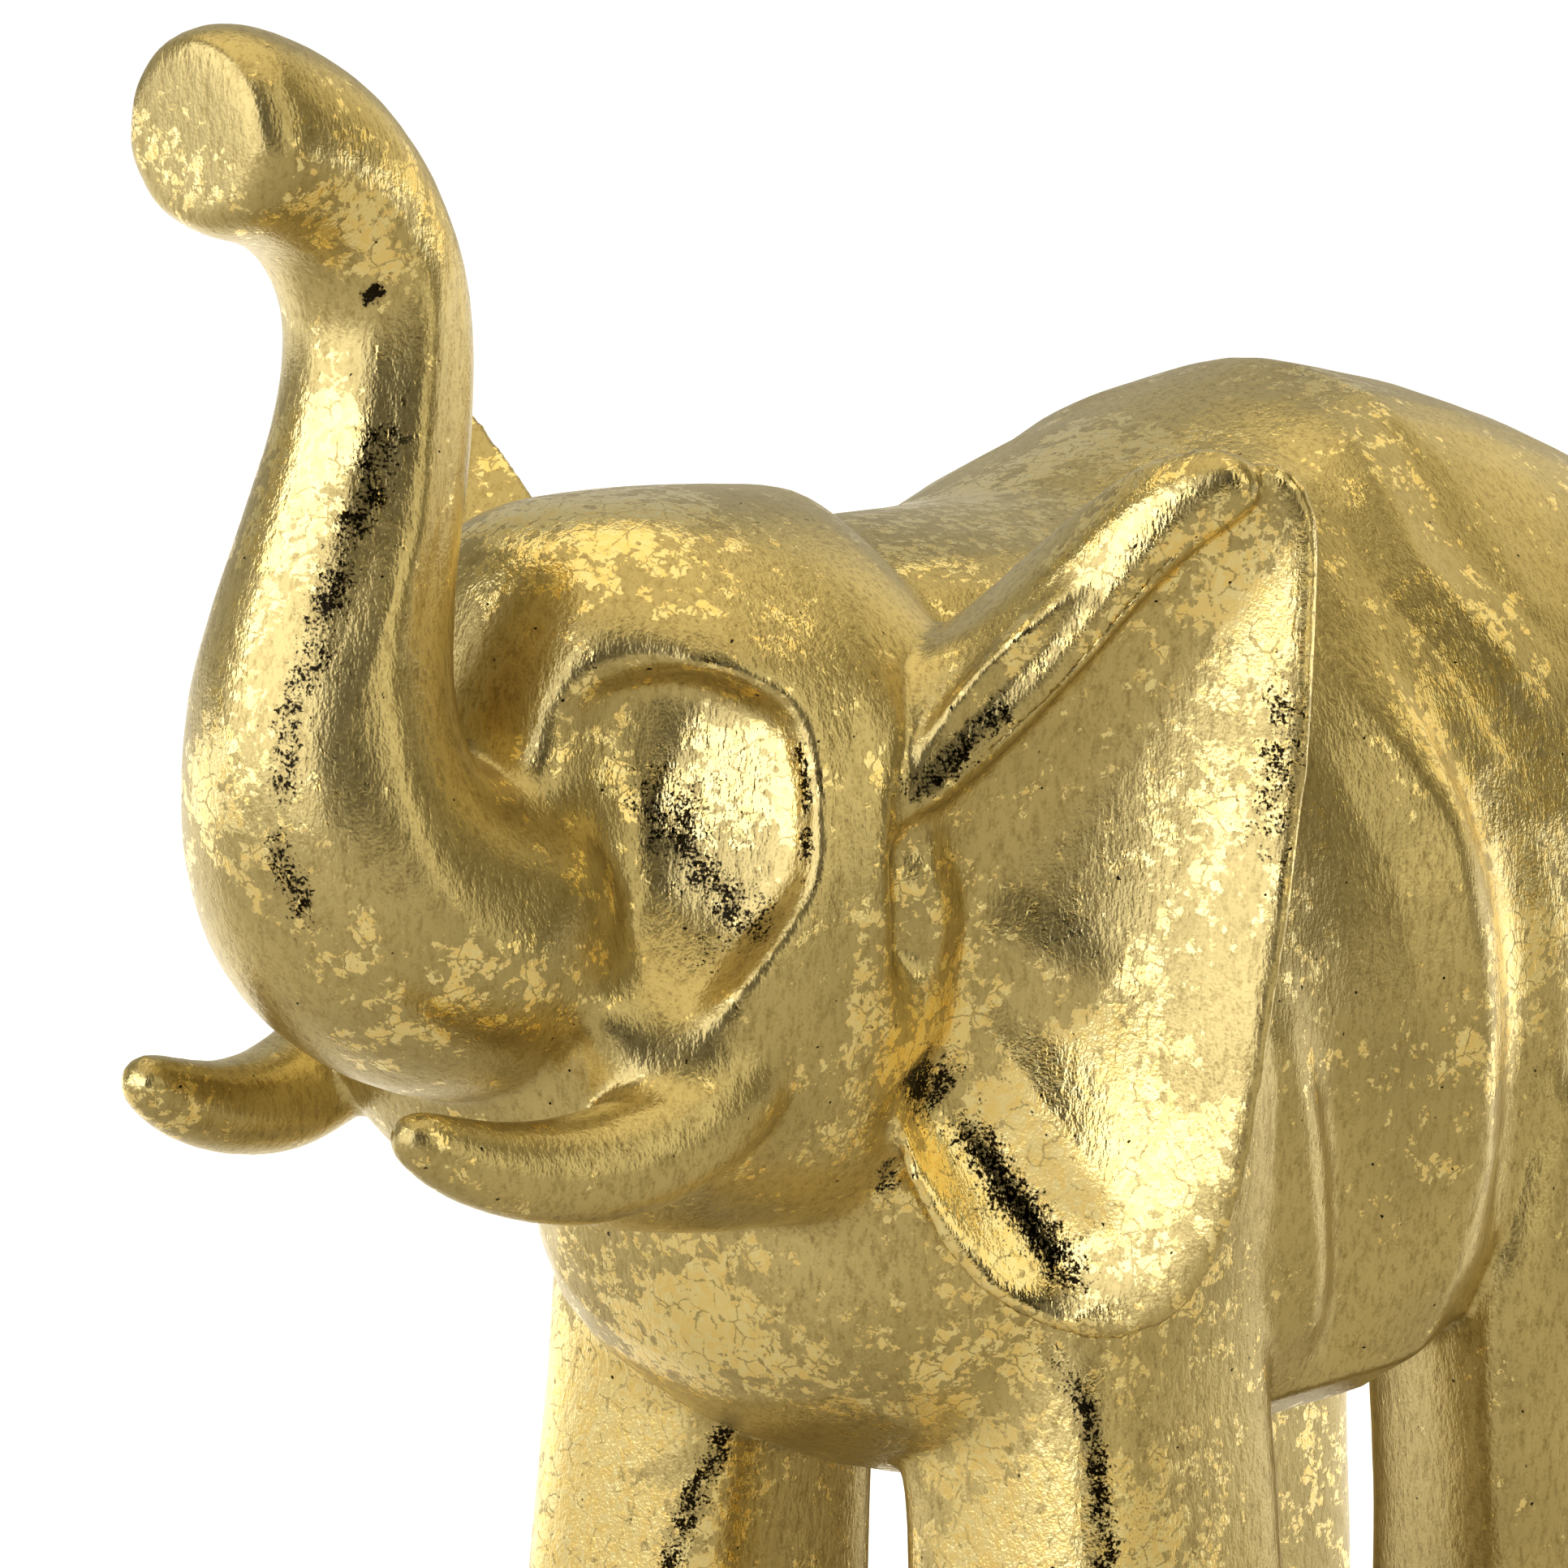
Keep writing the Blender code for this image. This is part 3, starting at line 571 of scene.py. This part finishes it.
def ear_point(along, height, out, side):
    """A point on the ear: how far along from the root, its height, and how far it stands
    out of the ear's plane towards the front."""
    turn = math.radians(EAR_TURN)
    tuck, tuck_from, tuck_over, lateness = EAR_TUCK
    twist, twist_from, twist_over = EAR_TWIST
    out -= tuck * max(0.0, (tuck_from - height) / tuck_over) ** lateness
    lowness = min(1.0, max(0.0, (twist_from - height) / twist_over))
    out += twist * (along - EAR_DISH[0]) * lowness
    x = EAR_ROOT[0] + along * math.cos(turn) + out * math.sin(turn)
    y = EAR_ROOT[1] + along * math.sin(turn) - out * math.cos(turn)
    return (side * x, y, height)


def ear_plate(side, collection):
    """The dished plate of the ear: rings of its outline drawn in towards the dish's centre,
    over the back and the front."""
    centre_along, centre_height, depth = EAR_DISH
    rings = []
    shares = [k / EAR_RINGS for k in range(1, EAR_RINGS + 1)]
    for face in ("back", "front"):
        order = shares if face == "back" else list(reversed(shares))
        for share in order:
            ring = []
            for along, height in EAR_OUTLINE:
                a = centre_along + (along - centre_along) * share
                h = centre_height + (height - centre_height) * share
                out = -depth * (1 - share ** 2)
                if face == "back":
                    out -= EAR_THICKNESS
                ring.append(ear_point(a, h, out, side))
            rings.append(ring)
    return loft("ear", rings, collection, levels=1)


def with_midpoints(ring):
    """The ring with a point added in the middle of each side."""
    full = []
    for here, after in zip(ring, ring[1:] + ring[:1]):
        full.append(here)
        full.append(tuple((a + b) / 2 for a, b in zip(here, after)))
    return full


def ear_rim(side, collection):
    rings = [with_midpoints([(side * x, y, z) for x, y, z in row]) for row in RIM]
    return loft("rim", rings, collection, None, RIM_EDGES)


def hollow_depth(along, height):
    """How deep the eye hollow's floor lies: the shallowest of its planes."""
    rear = EYE_STEP + EYE_REAR[0] * (EYE_REAR[1] - along)
    fore = EYE_FORE[0] * (along - EYE_FORE[1])
    foot = EYE_FOOT[0] * (height - EYE_FOOT[1])
    brow = EYE_BROW[0] * (EYE_BROW[1] - height)
    return max(0.0, min(rear, fore, foot, brow))


def eye_hollow(side, collection):
    """The cutter that scoops out the hollow: rings of its rim, from outside the face in."""
    turn = math.radians(EYE_TURN)
    middle_along, middle_height = EYE_MIDDLE
    stand, stand_height, lean = EYE_STAND
    rings = []
    for share in EYE_SHARES:
        ring = []
        for along, height in EYE_RIM:
            a = middle_along + (along - middle_along) * share
            h = middle_height + (height - middle_height) * share
            depth = -hollow_depth(a, h) if share < 1 else EYE_FLARE * (share - 1)
            out = stand - lean * (h - stand_height) + EYE_PLAY + depth
            x = a * math.cos(turn) + out * math.sin(turn)
            y = a * math.sin(turn) - out * math.cos(turn)
            ring.append((side * x, y, h))
        rings.append(with_midpoints(ring))
    ring_creases = [EYE_EDGE if share == 1 else 0 for share in EYE_SHARES]
    return loft("eye hollow", rings, collection, ring_creases)


def evaluated_mesh(body):
    graph = bpy.context.evaluated_depsgraph_get()
    mesh = bpy.data.meshes.new_from_object(body.evaluated_get(graph))
    mesh.transform(body.matrix_world)
    return mesh


def fuse(bodies, name, collection):
    """One mesh holding all the bodies, which the skin then melts together."""
    form = bmesh.new()
    for body in bodies:
        form.from_mesh(evaluated_mesh(body))
    for body in bodies:
        bpy.data.objects.remove(body, do_unlink=True)
    mesh = bpy.data.meshes.new(name)
    form.to_mesh(mesh)
    form.free()
    whole = bpy.data.objects.new(name, mesh)
    collection.objects.link(whole)
    return whole


def skin(body):
    cover = body.modifiers.new("one skin", "REMESH")
    cover.mode = "VOXEL"
    cover.voxel_size = SKIN_VOXEL
    cover.adaptivity = 0.0


def scoop(body, cutter):
    cut = body.modifiers.new("hollow", "BOOLEAN")
    cut.operation = "DIFFERENCE"
    cut.object = cutter
    cut.solver = "EXACT"


def settle(body):
    """Bakes the modifiers into the mesh."""
    mesh = evaluated_mesh(body)
    body.modifiers.clear()
    body.data = mesh


def vertex_rows(source, attribute):
    """Three numbers for each of the mesh's vertices."""
    rows = np.empty(len(source) * 3, np.float32)
    source.foreach_get(attribute, rows)
    return rows.reshape(-1, 3)


def own_measure(places):
    """The opposite of place, for rows of points."""
    return places / UNIT - np.array([0.0, SHIFT_Y, 0.0])


def move_to(mesh, places):
    mesh.vertices.foreach_set("co", places.ravel())
    mesh.update()


def melt(body):
    """Softens the skin round each melted place, most in its middle."""
    figure = own_measure(vertex_rows(body.data.vertices, "co"))
    figure[:, 0] = np.abs(figure[:, 0])
    share = np.zeros(len(figure))
    for x, y, z, reach in MELTED:
        away = np.linalg.norm(figure - np.array([x, y, z]), axis=1)
        share = np.maximum(share, np.clip(MELT_SLOPE * (1 - away / reach), 0, 1))
    group = body.vertex_groups.new(name="melted")
    for level in range(1, MELT_LEVELS + 1):
        near = np.flatnonzero(np.round(share * MELT_LEVELS) == level)
        group.add(near.tolist(), level / MELT_LEVELS, "REPLACE")
    soften = body.modifiers.new("melt", "SMOOTH")
    soften.factor = SOFTENING
    soften.iterations = round(MELT_SPREAD * (UNIT / SKIN_VOXEL) ** 2)
    soften.vertex_group = group.name
    settle(body)
    body.vertex_groups.clear()


def distance_along(places, line):
    """Each place's distance to a bent line, and how far along the line that is, 0 to 1."""
    line = np.array(line, float)
    lengths = np.linalg.norm(np.diff(line, axis=0), axis=1)
    passed = np.concatenate([[0.0], np.cumsum(lengths)])
    nearest = np.full(len(places), 1e9)
    along = np.zeros(len(places))
    for k, length in enumerate(lengths):
        step = (line[k + 1] - line[k]) / length
        share = np.clip((places - line[k]) @ step, 0, length)
        away = np.linalg.norm(places - line[k] - share[:, None] * step, axis=1)
        closer = away < nearest
        nearest[closer] = away[closer]
        along[closer] = (passed[k] + share[closer]) / passed[-1]
    return nearest, along


def carve(body):
    """Raises the ridges and sinks the grooves of the carved lines."""
    places = vertex_rows(body.data.vertices, "co")
    outward = vertex_rows(body.data.vertex_normals, "vector")
    side = np.where(places[:, 0] < 0, -1.0, 1.0)
    figure = own_measure(places)
    figure[:, 0] *= side
    turn = math.radians(CARVED_FROM)
    faces_us = outward[:, 0] * side * math.sin(turn) - outward[:, 1] * math.cos(turn)
    rise = np.zeros(len(places))
    for height, width, sharp, *line in CARVING:
        away, along = distance_along(figure, line)
        share = np.clip(1 - away / width, 0, 1)
        if not sharp:
            share = share * share * (3 - 2 * share)
        ends = np.clip(np.minimum(along, 1 - along) / CARVED_ENDS, 0, 1)
        rise += height * share * (CARVED_LEAST + (1 - CARVED_LEAST) * ends)
    rise *= np.clip(faces_us * CARVED_FACING[0] + CARVED_FACING[1], 0, 1) * UNIT
    places += outward * rise[:, None].astype(np.float32)
    move_to(body.data, places)


def flat_soles(body):
    """Cuts the legs off level at the ground and closes each with one flat face."""
    form = bmesh.new()
    form.from_mesh(body.data)
    bmesh.ops.bisect_plane(
        form, geom=form.verts[:] + form.edges[:] + form.faces[:], dist=1e-6,
        plane_co=(0, 0, 0), plane_no=(0, 0, -1), clear_outer=True)
    level = [face for face in form.faces if all(abs(v.co.z) < 1e-5 for v in face.verts)]
    bmesh.ops.delete(form, geom=level, context="FACES_ONLY")
    rim = [edge for edge in form.edges if edge.is_boundary]
    bmesh.ops.contextual_create(form, geom=rim)
    bmesh.ops.triangulate(form, faces=form.faces[:])
    form.to_mesh(body.data)
    form.free()


def figure_bodies(collection):
    bodies = [torso(collection), head(collection), trunk(collection), tail(collection)]
    for side in (1, -1):
        bodies.append(leg("foreleg", FORELEG, side, collection))
        bodies.append(leg("hindleg", HINDLEG, side, collection))
        bodies.append(tusk(side, collection))
        bodies.append(ear_plate(side, collection))
        bodies.append(ear_rim(side, collection))
    return bodies


def by_lines(body, name, rows):
    """Stores at each vertex the strongest of the rows' shares, each fading off its line."""
    figure = own_measure(vertex_rows(body.data.vertices, "co"))
    share = np.zeros(len(figure))
    for strength, width, *line in rows:
        away, along = distance_along(figure, line)
        ends = np.clip(np.minimum(along, 1 - along) * LINE_ENDS[0] + LINE_ENDS[1], 0, 1)
        across = np.clip(LINE_SLOPE * (1 - away / width), 0, 1)
        share = np.maximum(share, strength * ends * across)
    layer = body.data.attributes.new(name, "FLOAT", "POINT")
    layer.data.foreach_set("value", share.astype(np.float32))


def hand_waves(body):
    """Moves the surface in and out by a little, as modelling by hand leaves it."""
    places = vertex_rows(body.data.vertices, "co")
    outward = vertex_rows(body.data.vertex_normals, "vector")
    rise = np.zeros(len(places), np.float32)
    spots = [Vector(spot) for spot in places.tolist()]
    for length, height in HAND_WAVES:
        rise += height * np.array([noise.noise(spot / length) for spot in spots])
    rise[places[:, 2] < 1e-6] = 0
    places += outward * rise[:, None]
    move_to(body.data, places)


def elephant():
    """The whole figure in one mesh."""
    collection = bpy.context.scene.collection
    body = fuse(figure_bodies(collection), "gold_elephant", collection)
    for cutter in [o for o in bpy.data.objects if o.name.startswith("eye hollow")]:
        bpy.data.objects.remove(cutter, do_unlink=True)
    skin(body)
    soften = body.modifiers.new("soft edges", "SMOOTH")
    soften.factor = SOFTENING
    soften.iterations = SKIN_SMOOTHING
    settle(body)
    melt(body)
    carve(body)
    reduce = body.modifiers.new("facets", "DECIMATE")
    reduce.ratio = SKIN_TRIANGLES / (2 * len(body.data.polygons))
    settle(body)
    flat_soles(body)
    hand_waves(body)
    # darkened lines: partly wear, partly painted dark reflection
    by_lines(body, "wear_and_dark_reflection", WEAR_AND_DARK_REFLECTION_LINES)
    by_lines(body, "leafed", LEAFED_LINES)
    body.data.shade_smooth()
    return body


class Nodes:
    """Adds nodes to a tree and joins them."""

    def __init__(self, tree):
        self.tree = tree
        self.tree.nodes.clear()

    def add(self, kind, **settings):
        node = self.tree.nodes.new(kind)
        for name, value in settings.items():
            setattr(node, name, value)
        return node

    def put(self, socket, value):
        """Joins a socket to another or gives it a plain value."""
        if isinstance(value, bpy.types.NodeSocket):
            self.tree.links.new(value, socket)
        else:
            socket.default_value = value

    def math(self, operation, a, b=0.0, clamp=False):
        node = self.add("ShaderNodeMath", operation=operation, use_clamp=clamp)
        self.put(node.inputs[0], a)
        self.put(node.inputs[1], b)
        return node.outputs[0]

    def mix(self, share, a, b):
        """From colour a at 0 to colour b at 1. The node's colour sockets share their names
        with others, so they are taken by number."""
        node = self.add("ShaderNodeMix", data_type="RGBA")
        self.put(node.inputs["Factor"], share)
        self.put(node.inputs[6], a)
        self.put(node.inputs[7], b)
        return node.outputs[2]

    def blend(self, share, a, b):
        """From number a at 0 to number b at 1."""
        node = self.add("ShaderNodeMix", data_type="FLOAT")
        self.put(node.inputs["Factor"], share)
        self.put(node.inputs[2], a)
        self.put(node.inputs[3], b)
        return node.outputs[0]

    def step(self, value, low, high):
        """0 below low and 1 above high, with a straight rise between."""
        node = self.add("ShaderNodeMapRange", clamp=True)
        self.put(node.inputs["Value"], value)
        self.put(node.inputs["From Min"], low)
        self.put(node.inputs["From Max"], high)
        return node.outputs[0]

    def noise(self, where, size, detail, roughness=0.5):
        """Noise with features of about the given size in metres."""
        node = self.add("ShaderNodeTexNoise")
        self.put(node.inputs["Vector"], where)
        self.put(node.inputs["Scale"], 1.0 / size)
        self.put(node.inputs["Detail"], detail)
        self.put(node.inputs["Roughness"], roughness)
        return node.outputs["Fac"]

    def stretched(self, where, turn, scale):
        node = self.add("ShaderNodeMapping")
        self.put(node.inputs["Vector"], where)
        self.put(node.inputs["Rotation"], turn)
        self.put(node.inputs["Scale"], scale)
        return node.outputs[0]

    def cells(self, where, size, feature="F1", output="Color"):
        node = self.add("ShaderNodeTexVoronoi", feature=feature)
        self.put(node.inputs["Vector"], where)
        self.put(node.inputs["Scale"], 1.0 / size)
        return node.outputs[output]


def shifted(nodes, where, colour, reach):
    """The place moved to and fro by a noise's colour, so that straight edges come out torn."""
    centred = nodes.add("ShaderNodeVectorMath", operation="SUBTRACT")
    nodes.put(centred.inputs[0], colour)
    nodes.put(centred.inputs[1], (0.5, 0.5, 0.5))
    scaled = nodes.add("ShaderNodeVectorMath", operation="SCALE")
    nodes.put(scaled.inputs[0], centred.outputs[0])
    nodes.put(scaled.inputs["Scale"], reach)
    moved = nodes.add("ShaderNodeVectorMath", operation="ADD")
    nodes.put(moved.inputs[0], where)
    nodes.put(moved.inputs[1], scaled.outputs[0])
    return moved.outputs[0]


def gold_leaf():
    """Torn leaf over a satin ground. Both are metal; the leaf is glossier and warmer."""
    material = bpy.data.materials.new("gold_leaf")
    material.use_nodes = True
    nodes = Nodes(material.node_tree)
    place_in = nodes.add("ShaderNodeTexCoord").outputs["Object"]

    broad = nodes.noise(place_in, BROAD_SIZE, 1.0)
    patch = nodes.noise(place_in, PATCH_SIZE, 4.0, 0.70)
    torn = shifted(nodes, place_in, patch.node.outputs["Color"], TEAR_REACH)
    cells = nodes.cells(torn, FLAKE_SIZE)
    chips = nodes.add("ShaderNodeSeparateColor")
    nodes.put(chips.inputs[0], cells)
    chance, depth, tone = chips.outputs

    # where the leaf lies: its patches, single flakes round them, less the cracks
    swing = nodes.math("MULTIPLY", nodes.math("SUBTRACT", broad, 0.5), SWING_SHARE)
    held = nodes.add("ShaderNodeAttribute", attribute_name="leafed").outputs["Fac"]
    cover = nodes.math("ADD", nodes.math("ADD", patch, swing),
                       nodes.math("SUBTRACT", held, COVER_LESS))
    leaf = nodes.step(cover, *LEAF_FROM)
    flakes = nodes.math("MULTIPLY", nodes.step(chance, *FLAKE_CHANCE),
                        nodes.step(cover, *FLAKES_FROM))
    leaf = nodes.math("MAXIMUM", leaf, flakes)
    gap = nodes.cells(torn, CRACK_SIZE, "DISTANCE_TO_EDGE", "Distance")
    crack = nodes.math("MULTIPLY", nodes.step(gap, *CRACK_WIDTH),
                       nodes.step(patch, *CRACKS_FROM))
    leaf = nodes.math("SUBTRACT", leaf, crack, clamp=True)

    # colours of the ground and of the leaf on it
    grain = nodes.noise(place_in, GRAIN_SIZE, 1.0, 0.6)
    drawn_out = nodes.stretched(place_in, STREAK_TURN, STREAK_SCALE)
    streaks = nodes.noise(drawn_out, STREAK_SIZE, 2.0, 0.7)
    ground = nodes.mix(nodes.step(broad, *GROUND_FROM), *GROUND_TONES)
    worked = nodes.math("ADD", streaks, nodes.math("MULTIPLY", grain, CREASE_GRAIN))
    ground = nodes.mix(nodes.step(worked, *CREASE_FROM), CREASE_TONE, ground)
    colour = nodes.mix(leaf, ground, nodes.mix(tone, *LEAF_TONES))

    # the dark where both wear through, partly painted dark reflection along the darkened lines,
    # and pinholes
    wear_and_dark_reflection_share = nodes.add("ShaderNodeAttribute", attribute_name="wear_and_dark_reflection").outputs["Fac"]
    speck = nodes.math("ADD", nodes.math("MULTIPLY", depth, DARK_SHARES[0]),
                       nodes.math("MULTIPLY", grain, DARK_SHARES[1]))
    speck = nodes.math("ADD", speck, nodes.math("MULTIPLY", patch, DARK_SHARES[2]))
    # painted dark reflection: the darkened lines add dark specks where the surface faces the
    # dark side round the camera, beside real chips
    dark = nodes.step(nodes.math("ADD", speck, wear_and_dark_reflection_share), *DARK_FROM)
    pin = nodes.math("MULTIPLY", nodes.step(depth, *PINHOLE_CHANCE),
                     nodes.step(cells.node.outputs["Distance"], *PINHOLE_WIDTH))
    dark = nodes.math("MAXIMUM", dark, pin)
    colour = nodes.mix(dark, colour, DARK_TONE)

    rise = nodes.math("ADD", nodes.math("MULTIPLY", grain, RELIEF_GRAIN), streaks)
    bump = nodes.add("ShaderNodeBump")
    nodes.put(bump.inputs["Height"], rise)
    nodes.put(bump.inputs["Distance"], RELIEF_HEIGHT)
    nodes.put(bump.inputs["Strength"], RELIEF_STRENGTH)

    shader = nodes.add("ShaderNodeBsdfPrincipled")
    nodes.put(shader.inputs["Base Color"], colour)
    nodes.put(shader.inputs["Metallic"], nodes.blend(leaf, *METAL))
    nodes.put(shader.inputs["Roughness"], nodes.blend(leaf, *ROUGHNESS))
    nodes.put(shader.inputs["Normal"], bump.outputs[0])
    end = nodes.add("ShaderNodeOutputMaterial")
    nodes.put(end.inputs["Surface"], shader.outputs[0])
    return material


def floor():
    """A plain pale floor that brightens to white behind the object."""
    bpy.ops.mesh.primitive_circle_add(vertices=FLOOR_SIDES, radius=FLOOR_RADIUS,
                                      fill_type="NGON")
    plane = bpy.context.object
    plane.name = "floor"
    material = bpy.data.materials.new("pale_floor")
    material.use_nodes = True
    nodes = Nodes(material.node_tree)
    where = nodes.add("ShaderNodeTexCoord").outputs["Object"]
    away = nodes.add("ShaderNodeVectorMath", operation="DOT_PRODUCT")
    nodes.put(away.inputs[0], where)
    nodes.put(away.inputs[1], -towards(CAMERA_TURN, 0))
    shader = nodes.add("ShaderNodeBsdfPrincipled")
    shader.inputs["Base Color"].default_value = FLOOR_TONE
    shader.inputs["Roughness"].default_value = FLOOR_ROUGHNESS
    shader.inputs["Emission Color"].default_value = (1, 1, 1, 1)
    nodes.put(shader.inputs["Emission Strength"], nodes.step(away.outputs["Value"], *FLOOR_FADE))
    end = nodes.add("ShaderNodeOutputMaterial")
    nodes.put(end.inputs["Surface"], shader.outputs[0])
    material.cycles.emission_sampling = "NONE"
    plane.data.materials.append(material)


def towards(turn, rise):
    """The direction from the object to a place, by compass turn from -Y and rise."""
    a = math.radians(turn)
    e = math.radians(rise)
    return Vector((math.sin(a) * math.cos(e), -math.cos(a) * math.cos(e), math.sin(e)))


def softboxes():
    middle = Vector(CAMERA_TARGET)
    for name, turn, rise, distance, width, height, watts, colour in SOFTBOXES:
        light = bpy.data.lights.new(name, "AREA")
        light.shape = "RECTANGLE"
        light.size = width
        light.size_y = height
        light.energy = watts
        light.color = colour
        lamp = bpy.data.objects.new(name, light)
        lamp.location = middle + towards(turn, rise) * distance
        lamp.rotation_euler = (middle - lamp.location).to_track_quat("-Z", "Y").to_euler()
        bpy.context.scene.collection.objects.link(lamp)


def studio():
    """The room round the object: dark on one side, pale opposite."""
    world = bpy.data.worlds.new("studio")
    world.use_nodes = True
    nodes = Nodes(world.node_tree)
    look = nodes.add("ShaderNodeTexCoord").outputs["Generated"]
    dot = nodes.add("ShaderNodeVectorMath", operation="DOT_PRODUCT")
    nodes.put(dot.inputs[0], look)
    nodes.put(dot.inputs[1], towards(*DARK_SIDE))
    turned = nodes.math("MULTIPLY", nodes.math("SUBTRACT", 1.0, dot.outputs["Value"]), 0.5)
    ramp = nodes.add("ShaderNodeValToRGB")
    ramp.color_ramp.interpolation = "EASE"
    steps = ramp.color_ramp.elements
    while len(steps) < len(STUDIO_STEPS):
        steps.new(0.5)
    for step, (spot, colour) in zip(steps, STUDIO_STEPS):
        step.position = spot
        step.color = (*colour, 1.0)
    nodes.put(ramp.inputs[0], turned)
    background = nodes.add("ShaderNodeBackground")
    nodes.put(background.inputs["Color"], ramp.outputs["Color"])
    end = nodes.add("ShaderNodeOutputWorld")
    nodes.put(end.inputs["Surface"], background.outputs[0])
    bpy.context.scene.world = world


def camera():
    data = bpy.data.cameras.new("camera")
    data.sensor_width = CAMERA_SENSOR
    data.lens = CAMERA_LENS
    data.clip_start, data.clip_end = CAMERA_CLIP
    eye = bpy.data.objects.new("camera", data)
    back = towards(CAMERA_TURN, CAMERA_RISE)
    eye.location = Vector(CAMERA_TARGET) + back * CAMERA_DISTANCE
    eye.rotation_euler = (-back).to_track_quat("-Z", "Y").to_euler()
    bpy.context.scene.collection.objects.link(eye)
    bpy.context.scene.camera = eye


def main():
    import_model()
    camera()
    piece = elephant()
    piece.data.materials.append(gold_leaf())
    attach(piece, "root")
    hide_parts("elephant")
    floor()
    softboxes()
    studio()
    bpy.context.scene.view_settings.view_transform = "Standard"


main()
